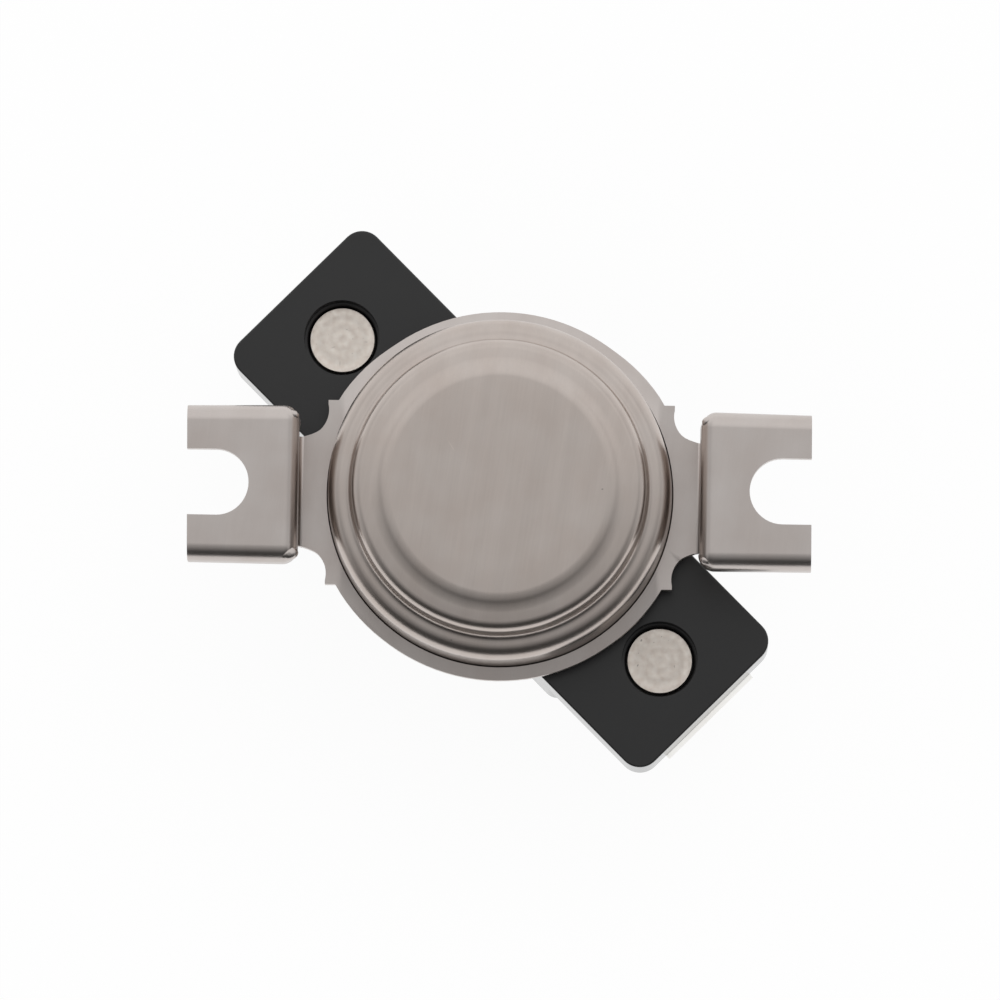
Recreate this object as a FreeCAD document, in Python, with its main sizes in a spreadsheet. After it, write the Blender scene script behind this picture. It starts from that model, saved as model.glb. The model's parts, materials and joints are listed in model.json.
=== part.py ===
"""Snap-disc bimetal thermostat with a stepped sensing cap, a two-eared bracket and blade terminals.

+Z points out of the sensing cap, +X runs along the two ears, and the origin lies under the
middle of the cap, at the height of the blade tips.
"""
import FreeCAD, Part
import os
import Sketcher
from FreeCAD import Rotation, Vector

# Driving lengths in millimetres
LENGTHS = {
    # Bracket: a flat ring, two risers and two forked ears with turned-down sides
    "ear_span": 42.0,
    "ear_width": 10.5,
    "ear_rise": 5.0,
    "ear_flange": 2.0,
    "bracket_sheet": 0.8,
    "bend_inside": 0.3,
    "slot_spacing": 38.1,
    "slot_width": 4.45,
    "ring_play": 0.05,
    "ring_width": 0.95,
    "riser_gap": 0.75,
    "tab_setback": 0.95,
    "tab_width": 12.5,
    "neck_width": 7.4,
    "relief_diameter": 3.7,
    "relief_setback": 0.1,
    "overcut": 1.0,
    # Sensing cap, drawn from one sheet in three levels, with a skirt that is rolled under the base
    "cap_sheet": 0.35,
    "face_diameter": 15.2,
    "shoulder_diameter": 16.6,
    "shoulder_rise": 0.3,
    "upper_diameter": 19.6,
    "upper_foot": 19.95,
    "upper_rise": 2.15,
    "lower_diameter": 22.95,
    "lower_foot": 23.3,
    "lower_rise": 4.15,
    "skirt_diameter": 24.5,
    "cap_round": 0.55,
    "cap_bevel": 0.2,
    "curl_reach": 1.1,
    "notch_play": 0.1,
    # Moulded base: two flat ends, a round collar under the cap and a deep switch block
    "base_length": 40.1,
    "base_width": 13.05,
    "base_corner": 1.45,
    "end_thickness": 4.4,
    "end_edge": 0.12,
    "block_corner": 1.0,
    "block_edge": 0.2,
    "collar_play": 0.05,
    "collar_rise": 0.85,
    "collar_height": 3.05,
    "block_length": 24.0,
    "block_depth": 9.5,
    "chamber_length": 17.0,
    "chamber_width": 9.4,
    "floor_thickness": 1.2,
    "slit_play": 0.1,
    # Rivets of the two ends
    "rivet_spacing": 30.72,
    "rivet_head": 4.37,
    "rivet_head_height": 0.9,
    "rivet_shank": 2.9,
    "rivet_tail": 4.2,
    "rivet_tail_height": 0.7,
    "rivet_head_edge": 0.12,
    "rivet_tail_edge": 0.35,
    "rivet_sink": 1.3,
    "recess_diameter": 5.13,
    "hole_play": 0.03,
    # Blade terminals, riveted under the ends and bent down
    "blade_width": 6.35,
    "blade_sheet": 0.8,
    "blade_stand": 8.0,
    "blade_inset": 0.65,
    "blade_bend": 0.4,
    "blade_tip_corner": 0.6,
    "blade_tip_bevel": 0.25,
    "blade_eye": 1.8,
    "blade_eye_height": 3.9,
    "plate_gap": 0.3,
    # Strips that lead the current into the switch chamber
    "strip_width": 4.6,
    "strip_sheet": 0.6,
    "strip_foot_width": 7.94,
    "strip_foot_gap": 0.3,
    "strip_proud": 0.3,
    "fixed_strip_end": 3.3,
    "arm_strip_end": 5.0,
    # Contacts and their spring arm
    "contact_reach": 5.1,
    "contact_diameter": 2.8,
    "contact_shank": 1.3,
    "contact_tail": 1.9,
    "contact_tail_height": 0.25,
    "fixed_height": 0.6,
    "moving_height": 0.5,
    "contact_gap": 0.02,
    "arm_width": 4.0,
    "arm_sheet": 0.2,
    "arm_bend": 5.2,
    "arm_level": 2.2,
    "arm_tip": 6.9,
    "arm_slit": 0.05,
    "root_end": 8.2,
    "root_rivet": 6.8,
    # Push pin and the guide that it slides in
    "pin_diameter": 2.4,
    "pin_bevel": 0.5,
    "pin_bore_play": 0.05,
    "pin_play": 0.05,
    "pin_travel": 0.3,
    "guide_play": 0.1,
    "guide_wall": 2.2,
    "guide_web": 1.4,
    "guide_boss": 5.6,
    "guide_boss_drop": 3.4,
    "guide_edge": 0.5,
    "seat_width": 0.7,
    "seat_sink": 0.75,
    # Bimetal disc
    "disc_play": 0.2,
    "disc_sheet": 0.3,
    "disc_flat": 6.0,
    "disc_rise": 0.4,
    "disc_headroom": 0.1,
}

# Driving angles in degrees
ANGLES = {
    "base_turn": -44.47,
}

# Heights above the blade tips, each worked out from the sizes
BLOCK_BACK = "sizes.blade_stand"
END_FRONT = f"({BLOCK_BACK} + sizes.block_depth)"
END_BACK = f"({END_FRONT} - sizes.end_thickness)"
COLLAR_TOP = f"({END_FRONT} + sizes.collar_rise)"
COLLAR_FOOT = f"({COLLAR_TOP} - sizes.collar_height)"
RING_FOOT = f"({COLLAR_TOP} + sizes.cap_sheet)"
RING_TOP = f"({RING_FOOT} + sizes.bracket_sheet)"
EAR_TOP = f"({RING_TOP} + sizes.ear_rise)"
EAR_FOOT = f"({EAR_TOP} - sizes.ear_flange)"
LOWER_LEVEL = f"({RING_TOP} + sizes.lower_rise)"
UPPER_LEVEL = f"({LOWER_LEVEL} + sizes.upper_rise)"
FACE_LEVEL = f"({UPPER_LEVEL} + sizes.shoulder_rise)"
SKIRT_FOOT = f"({COLLAR_FOOT} - sizes.cap_sheet)"
CHAMBER_FLOOR = f"({BLOCK_BACK} + sizes.floor_thickness)"
STRIP_FOOT = f"({END_BACK} - sizes.strip_sheet)"
PLATE_FOOT = f"({STRIP_FOOT} - sizes.blade_sheet)"
RECESS_FLOOR = f"({END_FRONT} - sizes.rivet_sink - sizes.rivet_head_height)"
FIXED_FACE = f"({STRIP_FOOT} - sizes.fixed_height)"
MOVING_FACE = f"({FIXED_FACE} - sizes.contact_gap)"
ARM_TOP = f"({MOVING_FACE} - sizes.moving_height)"
ARM_FOOT = f"({ARM_TOP} - sizes.arm_sheet)"
ROOT_FOOT = f"({STRIP_FOOT} - sizes.arm_sheet)"
DISC_ROOM = "(sizes.disc_headroom + sizes.disc_rise + sizes.disc_sheet)"
DISC_SEAT = f"({FACE_LEVEL} - sizes.cap_sheet - {DISC_ROOM})"
GUIDE_SHOULDER = f"({LOWER_LEVEL} - sizes.cap_sheet)"
PIN_TOP = f"({DISC_SEAT} - sizes.disc_rise + sizes.pin_travel)"
PIN_FOOT = f"({ARM_TOP} + sizes.pin_play)"

# Radii and half widths, each worked out from the sizes
RING_HOLE = "(sizes.lower_foot / 2 + sizes.ring_play)"
RING_RADIUS = f"({RING_HOLE} + sizes.ring_width)"
RISER_REACH = f"({RING_RADIUS} + sizes.riser_gap)"
RELIEF_REACH = f"({RISER_REACH} + sizes.relief_setback)"
COLLAR_RADIUS = "(sizes.skirt_diameter / 2 - sizes.cap_sheet - sizes.collar_play)"
CURL_RADIUS = "(sizes.skirt_diameter / 2 - sizes.cap_sheet - sizes.curl_reach)"
RELIEF_OFFSET = "(sizes.neck_width / 2 + sizes.relief_diameter / 2)"
BEND_OUTSIDE = "(sizes.bend_inside + sizes.bracket_sheet)"
RISER_BACK = f"({RISER_REACH} + sizes.bracket_sheet)"
RISER_HALF = f"(sizes.ear_width / 2 - {BEND_OUTSIDE})"
GUIDE_RADIUS = "(sizes.lower_diameter / 2 - sizes.cap_sheet - sizes.guide_play)"
SEAT_RADIUS = "(sizes.upper_diameter / 2 - sizes.cap_sheet - sizes.guide_play)"
SEAT_RECESS = f"({SEAT_RADIUS} - sizes.seat_width)"
DISC_RADIUS = "(sizes.upper_diameter / 2 - sizes.cap_sheet - sizes.disc_play)"
BLADE_FACE = "(sizes.base_length / 2 - sizes.blade_inset)"
PLATE_START = "(sizes.block_length / 2 + sizes.plate_gap)"
BORE_RADIUS = "(sizes.pin_diameter / 2 + sizes.pin_bore_play)"
RIVET_HOLE = "(sizes.rivet_shank / 2 + sizes.hole_play)"
CONTACT_HOLE = "(sizes.contact_shank / 2 + sizes.hole_play)"

doc = FreeCAD.newDocument("bimetal_thermostat")
sizes = doc.addObject("Spreadsheet::Sheet", "sizes")
rows = [(alias, str(size)) for alias, size in LENGTHS.items()]
rows += [(alias, f"={size} deg") for alias, size in ANGLES.items()]
for row, (alias, content) in enumerate(rows, start=1):
    sizes.set(f"A{row}", alias)
    sizes.set(f"B{row}", content)
    sizes.setAlias(f"B{row}", alias)
doc.recompute()

pieces = []
TOLERANCE = 1e-3
SIDES = (("left", "-1"), ("right", "1"))
AXIS_X = Vector(1, 0, 0)
AXIS_Y = Vector(0, 1, 0)
AXIS_Z = Vector(0, 0, 1)


def value(expression):
    """Return the number that an expression of the sheet's sizes stands for."""
    result = sizes.evalExpression(expression.replace("sizes.", ""))
    return float(getattr(result, "Value", result))


def bind(item, **expressions):
    """Bind properties of a document object to expressions of the sheet's sizes."""
    for name, expression in expressions.items():
        item.setExpression(name, expression)
    return item


def new_body(label, turned=False):
    """Start a sub-part; a turned one lies along the moulded base."""
    body = doc.addObject("PartDesign::Body", label)
    body.Label = label
    if turned:
        body.Placement = FreeCAD.Placement(Vector(), Rotation(AXIS_Z, 0))
        body.setExpression("Placement.Rotation.Angle", "sizes.base_turn")
    pieces.append(body)
    return body


def new_sketch(body, name, plane, height="0"):
    """Attach a sketch to one of the body's origin planes, at a height above it."""
    sketch = body.newObject("Sketcher::SketchObject", name)
    support = [item for item in body.Origin.OriginFeatures if item.Role == plane][0]
    sketch.AttachmentSupport = [(support, "")]
    sketch.MapMode = "FlatFace"
    sketch.setExpression("AttachmentOffset.Base.z", height)
    return sketch


def hold(sketch, kind, arguments, expression):
    """Add a dimension to a sketch and bind it to an expression."""
    index = sketch.addConstraint(Sketcher.Constraint(kind, *arguments, value(expression)))
    sketch.setExpression(f"Constraints[{index}]", expression)


def add_outline(sketch, points, arcs=None):
    """Draw a closed outline through points given as pairs of expressions.

    arcs maps the number of a side to the rise of its arc over the chord, positive to the left,
    and to the x of the arc's centre.
    """
    arcs = arcs or {}
    places = [Vector(value(x), value(y), 0) for x, y in points]
    ends = []
    for side, start in enumerate(places):
        finish = places[(side + 1) % len(places)]
        if side in arcs:
            chord = finish - start
            left = Vector(-chord.y, chord.x, 0).normalize()
            middle = (start + finish) * 0.5 + left * value(arcs[side][0])
            index = sketch.addGeometry(Part.Arc(start, middle, finish))
            forward = sketch.getPoint(index, 1).distanceToPoint(start) < TOLERANCE
            ends.append((index, 1, 2) if forward else (index, 2, 1))
        else:
            index = sketch.addGeometry(Part.LineSegment(start, finish))
            ends.append((index, 1, 2))
    for side, (index, first, last) in enumerate(ends):
        follower, follower_first, _ = ends[(side + 1) % len(ends)]
        sketch.addConstraint(Sketcher.Constraint("Coincident", index, last, follower, follower_first))
        hold(sketch, "DistanceX", (-1, 1, index, first), points[side][0])
        hold(sketch, "DistanceY", (-1, 1, index, first), points[side][1])
    for side, (_, centre_x) in arcs.items():
        hold(sketch, "DistanceX", (-1, 1, ends[side][0], 3), centre_x)
    return sketch


def add_circle(sketch, x, y, radius):
    """Draw a circle whose centre and radius are expressions."""
    centre = Vector(value(x), value(y), 0)
    index = sketch.addGeometry(Part.Circle(centre, AXIS_Z, value(radius)))
    hold(sketch, "DistanceX", (-1, 1, index, 3), x)
    hold(sketch, "DistanceY", (-1, 1, index, 3), y)
    hold(sketch, "Radius", (index,), radius)
    return sketch


def box_points(left, right, front, back):
    """Return the four corners of a rectangle given by expressions."""
    return [(left, front), (right, front), (right, back), (left, back)]


def add_band(sketch, half_x, half_y):
    """Draw a rectangle centred on the sketch's origin."""
    return add_outline(sketch, box_points(f"-({half_x})", half_x, f"-({half_y})", half_y))


def pad(sketch, length, symmetric=False):
    """Pad a sketch upward or to both sides, and make it the body's tip."""
    body = sketch.getParentGeoFeatureGroup()
    feature = body.newObject("PartDesign::Pad", f"{sketch.Name}_pad")
    feature.Profile = sketch
    feature.SideType = "Symmetric" if symmetric else "One side"
    return bind(feature, Length=length)


def pocket(sketch, length, symmetric=False, up=False):
    """Cut a sketch downward, upward or to both sides."""
    body = sketch.getParentGeoFeatureGroup()
    feature = body.newObject("PartDesign::Pocket", f"{sketch.Name}_pocket")
    feature.Profile = sketch
    feature.SideType = "Symmetric" if symmetric else "One side"
    feature.Reversed = up
    return bind(feature, Length=length)


def revolve(sketch, cut=False):
    """Turn a sketch once round the body's upright axis, to add or to cut."""
    kind = "Groove" if cut else "Revolution"
    body = sketch.getParentGeoFeatureGroup()
    feature = body.newObject(f"PartDesign::{kind}", f"{sketch.Name}_turned")
    feature.Profile = sketch
    feature.ReferenceAxis = (sketch, ["V_Axis"])
    feature.Angle = 360
    return feature


def dress(kind, body, name, chosen, size):
    """Fillet or chamfer the edges of the body's tip that the chosen test accepts."""
    doc.recompute()
    base = body.Tip
    edges = [
        f"Edge{n}" for n, edge in enumerate(base.Shape.Edges, start=1)
        if not edge.Degenerated and chosen(edge)
    ]
    if not edges:
        raise RuntimeError(f"{body.Label}: no edge found for {name}")
    feature = body.newObject(f"PartDesign::{kind}", name)
    feature.Base = (base, edges)
    return bind(feature, **{"Radius" if kind == "Fillet" else "Size": size})


def is_line(edge, axis):
    """Tell whether an edge is straight and runs along an axis."""
    if not isinstance(edge.Curve, Part.Line):
        return False
    return edge.Curve.Direction.cross(axis).Length < TOLERANCE


def near(number, expression):
    """Tell whether a number is the value of an expression."""
    return abs(number - value(expression)) < TOLERANCE


def circle_at(radius, height):
    """Return a test for round edges of a radius at a height."""
    def test(edge):
        if not isinstance(edge.Curve, Part.Circle):
            return False
        return near(edge.Curve.Radius, radius) and near(edge.Curve.Center.z, height)
    return test


def make_bracket():
    """Blanked ring with two necks, each bent up into a riser and out into a forked ear."""
    body = new_body("mounting_bracket")
    ring = new_sketch(body, "bracket_ring", "XY_Plane", RING_FOOT)
    add_circle(ring, "0", "0", RING_RADIUS)
    pad(ring, "sizes.bracket_sheet")
    tabs = new_sketch(body, "bracket_tabs", "XY_Plane", RING_FOOT)
    add_band(tabs, f"{RING_RADIUS} - sizes.tab_setback", "sizes.tab_width / 2")
    pad(tabs, "sizes.bracket_sheet")
    necks = new_sketch(body, "bracket_necks", "XY_Plane", RING_FOOT)
    add_band(necks, RISER_BACK, RISER_HALF)
    pad(necks, "sizes.bracket_sheet")
    for side, sign in SIDES:
        riser = new_sketch(body, f"{side}_riser", "XY_Plane", RING_FOOT)
        inner_x, outer_x = f"{sign} * {RISER_REACH}", f"{sign} * {RISER_BACK}"
        add_outline(riser, box_points(inner_x, outer_x, f"-{RISER_HALF}", RISER_HALF))
        pad(riser, f"{EAR_FOOT} - {RING_FOOT}")
    for side, sign in SIDES:
        ear = new_sketch(body, f"{side}_ear", "XY_Plane", EAR_FOOT)
        inner_x, outer_x = f"{sign} * {RISER_REACH}", f"{sign} * sizes.ear_span / 2"
        half = "sizes.ear_width / 2"
        add_outline(ear, box_points(inner_x, outer_x, f"-{half}", half))
        pad(ear, "sizes.ear_flange")
    round_ear_outside(body)
    for side, sign in SIDES:
        hollow = new_sketch(body, f"{side}_ear_hollow", "XY_Plane", EAR_FOOT)
        half = "(sizes.ear_width / 2 - sizes.bracket_sheet)"
        inner_x, outer_x = f"{sign} * {RISER_BACK}", f"{sign} * (sizes.ear_span / 2 + sizes.overcut)"
        add_outline(hollow, box_points(inner_x, outer_x, f"-{half}", half))
        pocket(hollow, "sizes.ear_flange - sizes.bracket_sheet", up=True)
    round_bends(body)
    flare = new_sketch(body, "neck_flare", "XY_Plane", RING_FOOT)
    add_band(flare, f"{RISER_REACH} - sizes.bend_inside", RELIEF_OFFSET)
    pad(flare, "sizes.bracket_sheet")
    hole = new_sketch(body, "bracket_hole", "XY_Plane", RING_TOP)
    add_circle(hole, "0", "0", RING_HOLE)
    pocket(hole, "sizes.bracket_sheet")
    for side, sign in SIDES:
        slot = new_sketch(body, f"{side}_slot", "XY_Plane", EAR_TOP)
        half = "(sizes.slot_width / 2)"
        centre = f"{sign} * sizes.slot_spacing / 2"
        mouth = f"{sign} * (sizes.ear_span / 2 + sizes.overcut)"
        points = [(centre, f"-{half}"), (mouth, f"-{half}"), (mouth, half), (centre, half)]
        add_outline(slot, points, {3: (f"{sign} * -{half}", centre)})
        pocket(slot, "sizes.ear_flange")
        relieve_bend(body, side, sign)


def round_ear_outside(body):
    """Round the outer side of every bend of the ears and risers."""
    def ear_edge(edge):
        middle = edge.CenterOfMass
        at_riser = near(abs(middle.x), RISER_REACH)
        at_side = near(abs(middle.y), "sizes.ear_width / 2")
        if is_line(edge, AXIS_Z):
            return at_riser and at_side
        if not near(middle.z, EAR_TOP):
            return False
        return (is_line(edge, AXIS_X) and at_side) or (is_line(edge, AXIS_Y) and at_riser)
    dress("Fillet", body, "ear_bends_outside", ear_edge, BEND_OUTSIDE)


def round_bends(body):
    """Round the inner side of the ears' bends and both sides of the bend at each riser's foot."""
    def inner_edge(edge):
        middle = edge.CenterOfMass
        at_back = near(abs(middle.x), RISER_BACK)
        at_inside = near(abs(middle.y), "sizes.ear_width / 2 - sizes.bracket_sheet")
        if not near(middle.z, f"{EAR_TOP} - sizes.bracket_sheet"):
            return False
        return (is_line(edge, AXIS_X) and at_inside) or (is_line(edge, AXIS_Y) and at_back)

    def foot_inside(edge):
        reach, height = abs(edge.CenterOfMass.x), edge.CenterOfMass.z
        return is_line(edge, AXIS_Y) and near(reach, RISER_REACH) and near(height, RING_TOP)

    def foot_outside(edge):
        reach, height = abs(edge.CenterOfMass.x), edge.CenterOfMass.z
        return is_line(edge, AXIS_Y) and near(reach, RISER_BACK) and near(height, RING_FOOT)

    dress("Fillet", body, "ear_bends_inside", inner_edge, "sizes.bend_inside")
    dress("Fillet", body, "riser_bends_inside", foot_inside, "sizes.bend_inside")
    dress("Fillet", body, "riser_bends_outside", foot_outside, BEND_OUTSIDE)


def relieve_bend(body, side, sign):
    """Cut the round relief notches at both ends of a riser's lower bend."""
    flat = new_sketch(body, f"{side}_relief_flat", "XY_Plane", f"{RING_TOP} + sizes.bend_inside")
    bend_start = f"{sign} * ({RISER_REACH} - sizes.bend_inside)"
    upright = new_sketch(body, f"{side}_relief_upright", "YZ_Plane", bend_start)
    for y in (RELIEF_OFFSET, f"-{RELIEF_OFFSET}"):
        add_circle(flat, f"{sign} * {RELIEF_REACH}", y, "sizes.relief_diameter / 2")
        add_circle(upright, y, f"{RING_TOP} - sizes.bracket_sheet / 2", "sizes.relief_diameter / 2")
    pocket(flat, f"{BEND_OUTSIDE} + sizes.bend_inside")
    pocket(upright, f"2 * {BEND_OUTSIDE}", up=sign == "1")


def cap_outline(sheet):
    """Return half the section of the cap, moved inward by a share of its sheet."""
    inward = f"{sheet} * sizes.cap_sheet"
    radii = ["skirt_diameter", "lower_foot", "lower_diameter", "upper_foot", "upper_diameter"]
    skirt, lower_foot, lower, upper_foot, upper = [f"(sizes.{name} / 2 - {inward})" for name in radii]
    slant = f"{inward} * sizes.shoulder_rise / (sizes.shoulder_diameter - sizes.face_diameter)"
    shoulder = f"(sizes.shoulder_diameter / 2 - {slant})"
    face = f"(sizes.face_diameter / 2 - {slant})"
    levels = [f"({level} - {inward})" for level in (RING_FOOT, LOWER_LEVEL, UPPER_LEVEL, FACE_LEVEL)]
    brim_z, lower_z, upper_z, face_z = levels
    return {
        "axis": ("0", SKIRT_FOOT),
        "roll": (skirt, SKIRT_FOOT),
        "brim": (skirt, brim_z),
        "lower_foot": (lower_foot, brim_z),
        "lower": (lower, lower_z),
        "upper_foot": (upper_foot, lower_z),
        "upper": (upper, upper_z),
        "shoulder": (shoulder, upper_z),
        "face": (face, face_z),
        "top": ("0", face_z),
    }


def make_cap():
    """Drawn cap of one sheet: three levels, a brim under the bracket ring and a rolled skirt."""
    body = new_body("sensing_cap")
    outside = cap_outline("0")
    outer = new_sketch(body, "cap_outside", "XZ_Plane")
    add_outline(outer, list(outside.values()))
    revolve(outer)
    for name, kind, size in (
        ("lower", "Fillet", "sizes.cap_round"),
        ("upper", "Fillet", "sizes.cap_round"),
        ("upper_foot", "Chamfer", "sizes.cap_bevel"),
        ("brim", "Chamfer", "sizes.cap_bevel"),
        ("roll", "Chamfer", "sizes.cap_bevel"),
    ):
        dress(kind, body, f"cap_{name}_outside", circle_at(*outside[name]), size)
    inside = cap_outline("1")
    inside["roll"] = (inside["roll"][0], COLLAR_FOOT)
    inside["axis"] = ("0", COLLAR_FOOT)
    inner = new_sketch(body, "cap_inside", "XZ_Plane")
    add_outline(inner, list(inside.values()))
    revolve(inner, cut=True)
    mouth = new_sketch(body, "cap_mouth", "XY_Plane", COLLAR_FOOT)
    add_circle(mouth, "0", "0", CURL_RADIUS)
    pocket(mouth, "2 * sizes.cap_sheet")
    for name in ("lower", "upper"):
        rounding = "sizes.cap_round - sizes.cap_sheet"
        dress("Chamfer", body, f"cap_{name}_inside", circle_at(*inside[name]), rounding)
    notch = new_sketch(body, "cap_notch", "XY_Plane", f"{SKIRT_FOOT} - sizes.overcut")
    bind(notch, **{"AttachmentOffset.Rotation.Angle": "sizes.base_turn"})
    add_band(notch, "sizes.skirt_diameter", "sizes.base_width / 2 + sizes.notch_play")
    pocket(notch, f"{END_FRONT} + sizes.notch_play - {SKIRT_FOOT} + sizes.overcut", up=True)


def make_base():
    """Moulded base: two flat ends, a collar for the cap and a block with the switch chamber."""
    body = new_body("switch_base", turned=True)
    block = new_sketch(body, "base_block", "XY_Plane", BLOCK_BACK)
    add_band(block, "sizes.block_length / 2", "sizes.base_width / 2")
    pad(block, f"{END_BACK} - {BLOCK_BACK}")
    dress("Fillet", body, "block_corners", upright_at("sizes.block_length / 2"), "sizes.block_corner")
    dress("Chamfer", body, "block_edges", level_at(BLOCK_BACK), "sizes.block_edge")
    ends = new_sketch(body, "base_ends", "XY_Plane", END_BACK)
    add_band(ends, "sizes.base_length / 2", "sizes.base_width / 2")
    pad(ends, "sizes.end_thickness")
    dress("Fillet", body, "end_corners", upright_at("sizes.base_length / 2"), "sizes.base_corner")
    dress("Fillet", body, "end_edges", level_at(END_FRONT), "sizes.end_edge")
    collar = new_sketch(body, "base_collar", "XY_Plane", COLLAR_FOOT)
    add_circle(collar, "0", "0", COLLAR_RADIUS)
    pad(collar, "sizes.collar_height")
    chamber = new_sketch(body, "base_chamber", "XY_Plane", COLLAR_TOP)
    add_band(chamber, "sizes.chamber_length / 2", "sizes.chamber_width / 2")
    pocket(chamber, f"{COLLAR_TOP} - {CHAMBER_FLOOR}")
    recess = new_sketch(body, "rivet_recesses", "XY_Plane", END_FRONT)
    holes = new_sketch(body, "rivet_holes", "XY_Plane", END_FRONT)
    for sign in ("-1", "1"):
        centre = f"{sign} * sizes.rivet_spacing / 2"
        add_circle(recess, centre, "0", "sizes.recess_diameter / 2")
        add_circle(holes, centre, "0", RIVET_HOLE)
    pocket(recess, f"{END_FRONT} - {RECESS_FLOOR}")
    pocket(holes, "sizes.end_thickness")
    slits = new_sketch(body, "strip_slits", "YZ_Plane")
    half = "(sizes.strip_width / 2 + sizes.slit_play)"
    low = f"{STRIP_FOOT} - sizes.slit_play"
    add_outline(slits, box_points(f"-{half}", half, low, END_BACK))
    pocket(slits, "sizes.block_length + sizes.overcut", symmetric=True)


def level_at(height):
    """Return a test for edges whose middle lies at a height."""
    def test(edge):
        return near(edge.CenterOfMass.z, height)
    return test


def upright_at(reach):
    """Return a test for upright edges at a distance from the middle along the base."""
    def test(edge):
        return is_line(edge, AXIS_Z) and near(abs(edge.CenterOfMass.x), reach)
    return test


def make_rivet(label, sign):
    """Solid rivet: a flat head in the recess, a shank through the end and a formed tail."""
    body = new_body(label, turned=True)
    centre = f"{sign} * sizes.rivet_spacing / 2"
    head_top = f"{RECESS_FLOOR} + sizes.rivet_head_height"
    tail_foot = f"{PLATE_FOOT} - sizes.rivet_tail_height"
    stages = [
        ("head", RECESS_FLOOR, "sizes.rivet_head / 2", "sizes.rivet_head_height"),
        ("shank", PLATE_FOOT, "sizes.rivet_shank / 2", f"{RECESS_FLOOR} - {PLATE_FOOT}"),
        ("tail", tail_foot, "sizes.rivet_tail / 2", "sizes.rivet_tail_height"),
    ]
    for stage, foot, radius, length in stages:
        sketch = new_sketch(body, f"{label}_{stage}", "XY_Plane", foot)
        add_circle(sketch, centre, "0", radius)
        pad(sketch, length)
    head_edge = circle_at("sizes.rivet_head / 2", head_top)
    tail_edge = circle_at("sizes.rivet_tail / 2", tail_foot)
    dress("Chamfer", body, f"{label}_head_edge", head_edge, "sizes.rivet_head_edge")
    dress("Chamfer", body, f"{label}_tail_edge", tail_edge, "sizes.rivet_tail_edge")


def make_terminal(label, sign):
    """Blade terminal: a plate riveted under the end, bent down into a blade with a bevelled tip."""
    body = new_body(label, turned=True)
    profile = new_sketch(body, f"{label}_profile", "XZ_Plane")
    outer, inner = f"{sign} * {BLADE_FACE}", f"{sign} * ({BLADE_FACE} - sizes.blade_sheet)"
    start = f"{sign} * {PLATE_START}"
    add_outline(profile, [
        (start, PLATE_FOOT), (inner, PLATE_FOOT), (inner, "0"),
        (outer, "0"), (outer, STRIP_FOOT), (start, STRIP_FOOT),
    ])
    pad(profile, "sizes.blade_width", symmetric=True)

    def bend(edge):
        middle = edge.CenterOfMass
        return is_line(edge, AXIS_Y) and near(middle.z, PLATE_FOOT) and near(middle.x, inner)

    def crown(edge):
        middle = edge.CenterOfMass
        return is_line(edge, AXIS_Y) and near(middle.z, STRIP_FOOT) and near(middle.x, outer)

    def tip_corner(edge):
        return is_line(edge, AXIS_X) and near(edge.CenterOfMass.z, "0")

    def tip_edge(edge):
        return is_line(edge, AXIS_Y) and near(edge.CenterOfMass.z, "0")

    dress("Fillet", body, f"{label}_bend_inside", bend, "sizes.blade_bend")
    dress("Fillet", body, f"{label}_bend_outside", crown, "sizes.blade_bend + sizes.blade_sheet")
    dress("Chamfer", body, f"{label}_tip_corners", tip_corner, "sizes.blade_tip_corner")
    dress("Chamfer", body, f"{label}_tip_bevel", tip_edge, "sizes.blade_tip_bevel")
    eye = new_sketch(body, f"{label}_eye", "YZ_Plane", inner)
    add_circle(eye, "0", "sizes.blade_eye_height", "sizes.blade_eye / 2")
    pocket(eye, "3 * sizes.blade_sheet", symmetric=True)
    hole = new_sketch(body, f"{label}_hole", "XY_Plane", STRIP_FOOT)
    add_circle(hole, f"{sign} * sizes.rivet_spacing / 2", "0", RIVET_HOLE)
    pocket(hole, "sizes.blade_sheet")


def make_strip(label, sign, inner_end, hole_at):
    """Flat strip with a wide foot between the end and the terminal, which leads into the block."""
    body = new_body(label, turned=True)
    outline = new_sketch(body, f"{label}_outline", "XY_Plane", STRIP_FOOT)
    half, foot_half = "sizes.strip_width / 2", "sizes.strip_foot_width / 2"
    inner = f"{sign} * {inner_end}"
    step = f"{sign} * (sizes.block_length / 2 + sizes.strip_foot_gap)"
    outer = f"{sign} * (sizes.base_length / 2 + sizes.strip_proud)"
    add_outline(outline, [
        (inner, f"-{half}"), (step, f"-{half}"), (step, f"-{foot_half}"), (outer, f"-{foot_half}"),
        (outer, foot_half), (step, foot_half), (step, half), (inner, half),
    ])
    pad(outline, "sizes.strip_sheet")
    holes = new_sketch(body, f"{label}_holes", "XY_Plane", END_BACK)
    add_circle(holes, f"{sign} * sizes.rivet_spacing / 2", "0", RIVET_HOLE)
    add_circle(holes, f"{sign} * {hole_at}", "0", CONTACT_HOLE)
    pocket(holes, "sizes.strip_sheet")


def make_contact(label, head, shank, tail):
    """Contact rivet: a thick face, a shank and a tail, each given as foot, radius and length."""
    body = new_body(label, turned=True)
    for stage, (height, radius, length) in (("face", head), ("shank", shank), ("tail", tail)):
        sketch = new_sketch(body, f"{label}_{stage}", "XY_Plane", height)
        add_circle(sketch, "sizes.contact_reach", "0", radius)
        pad(sketch, length)


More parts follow.
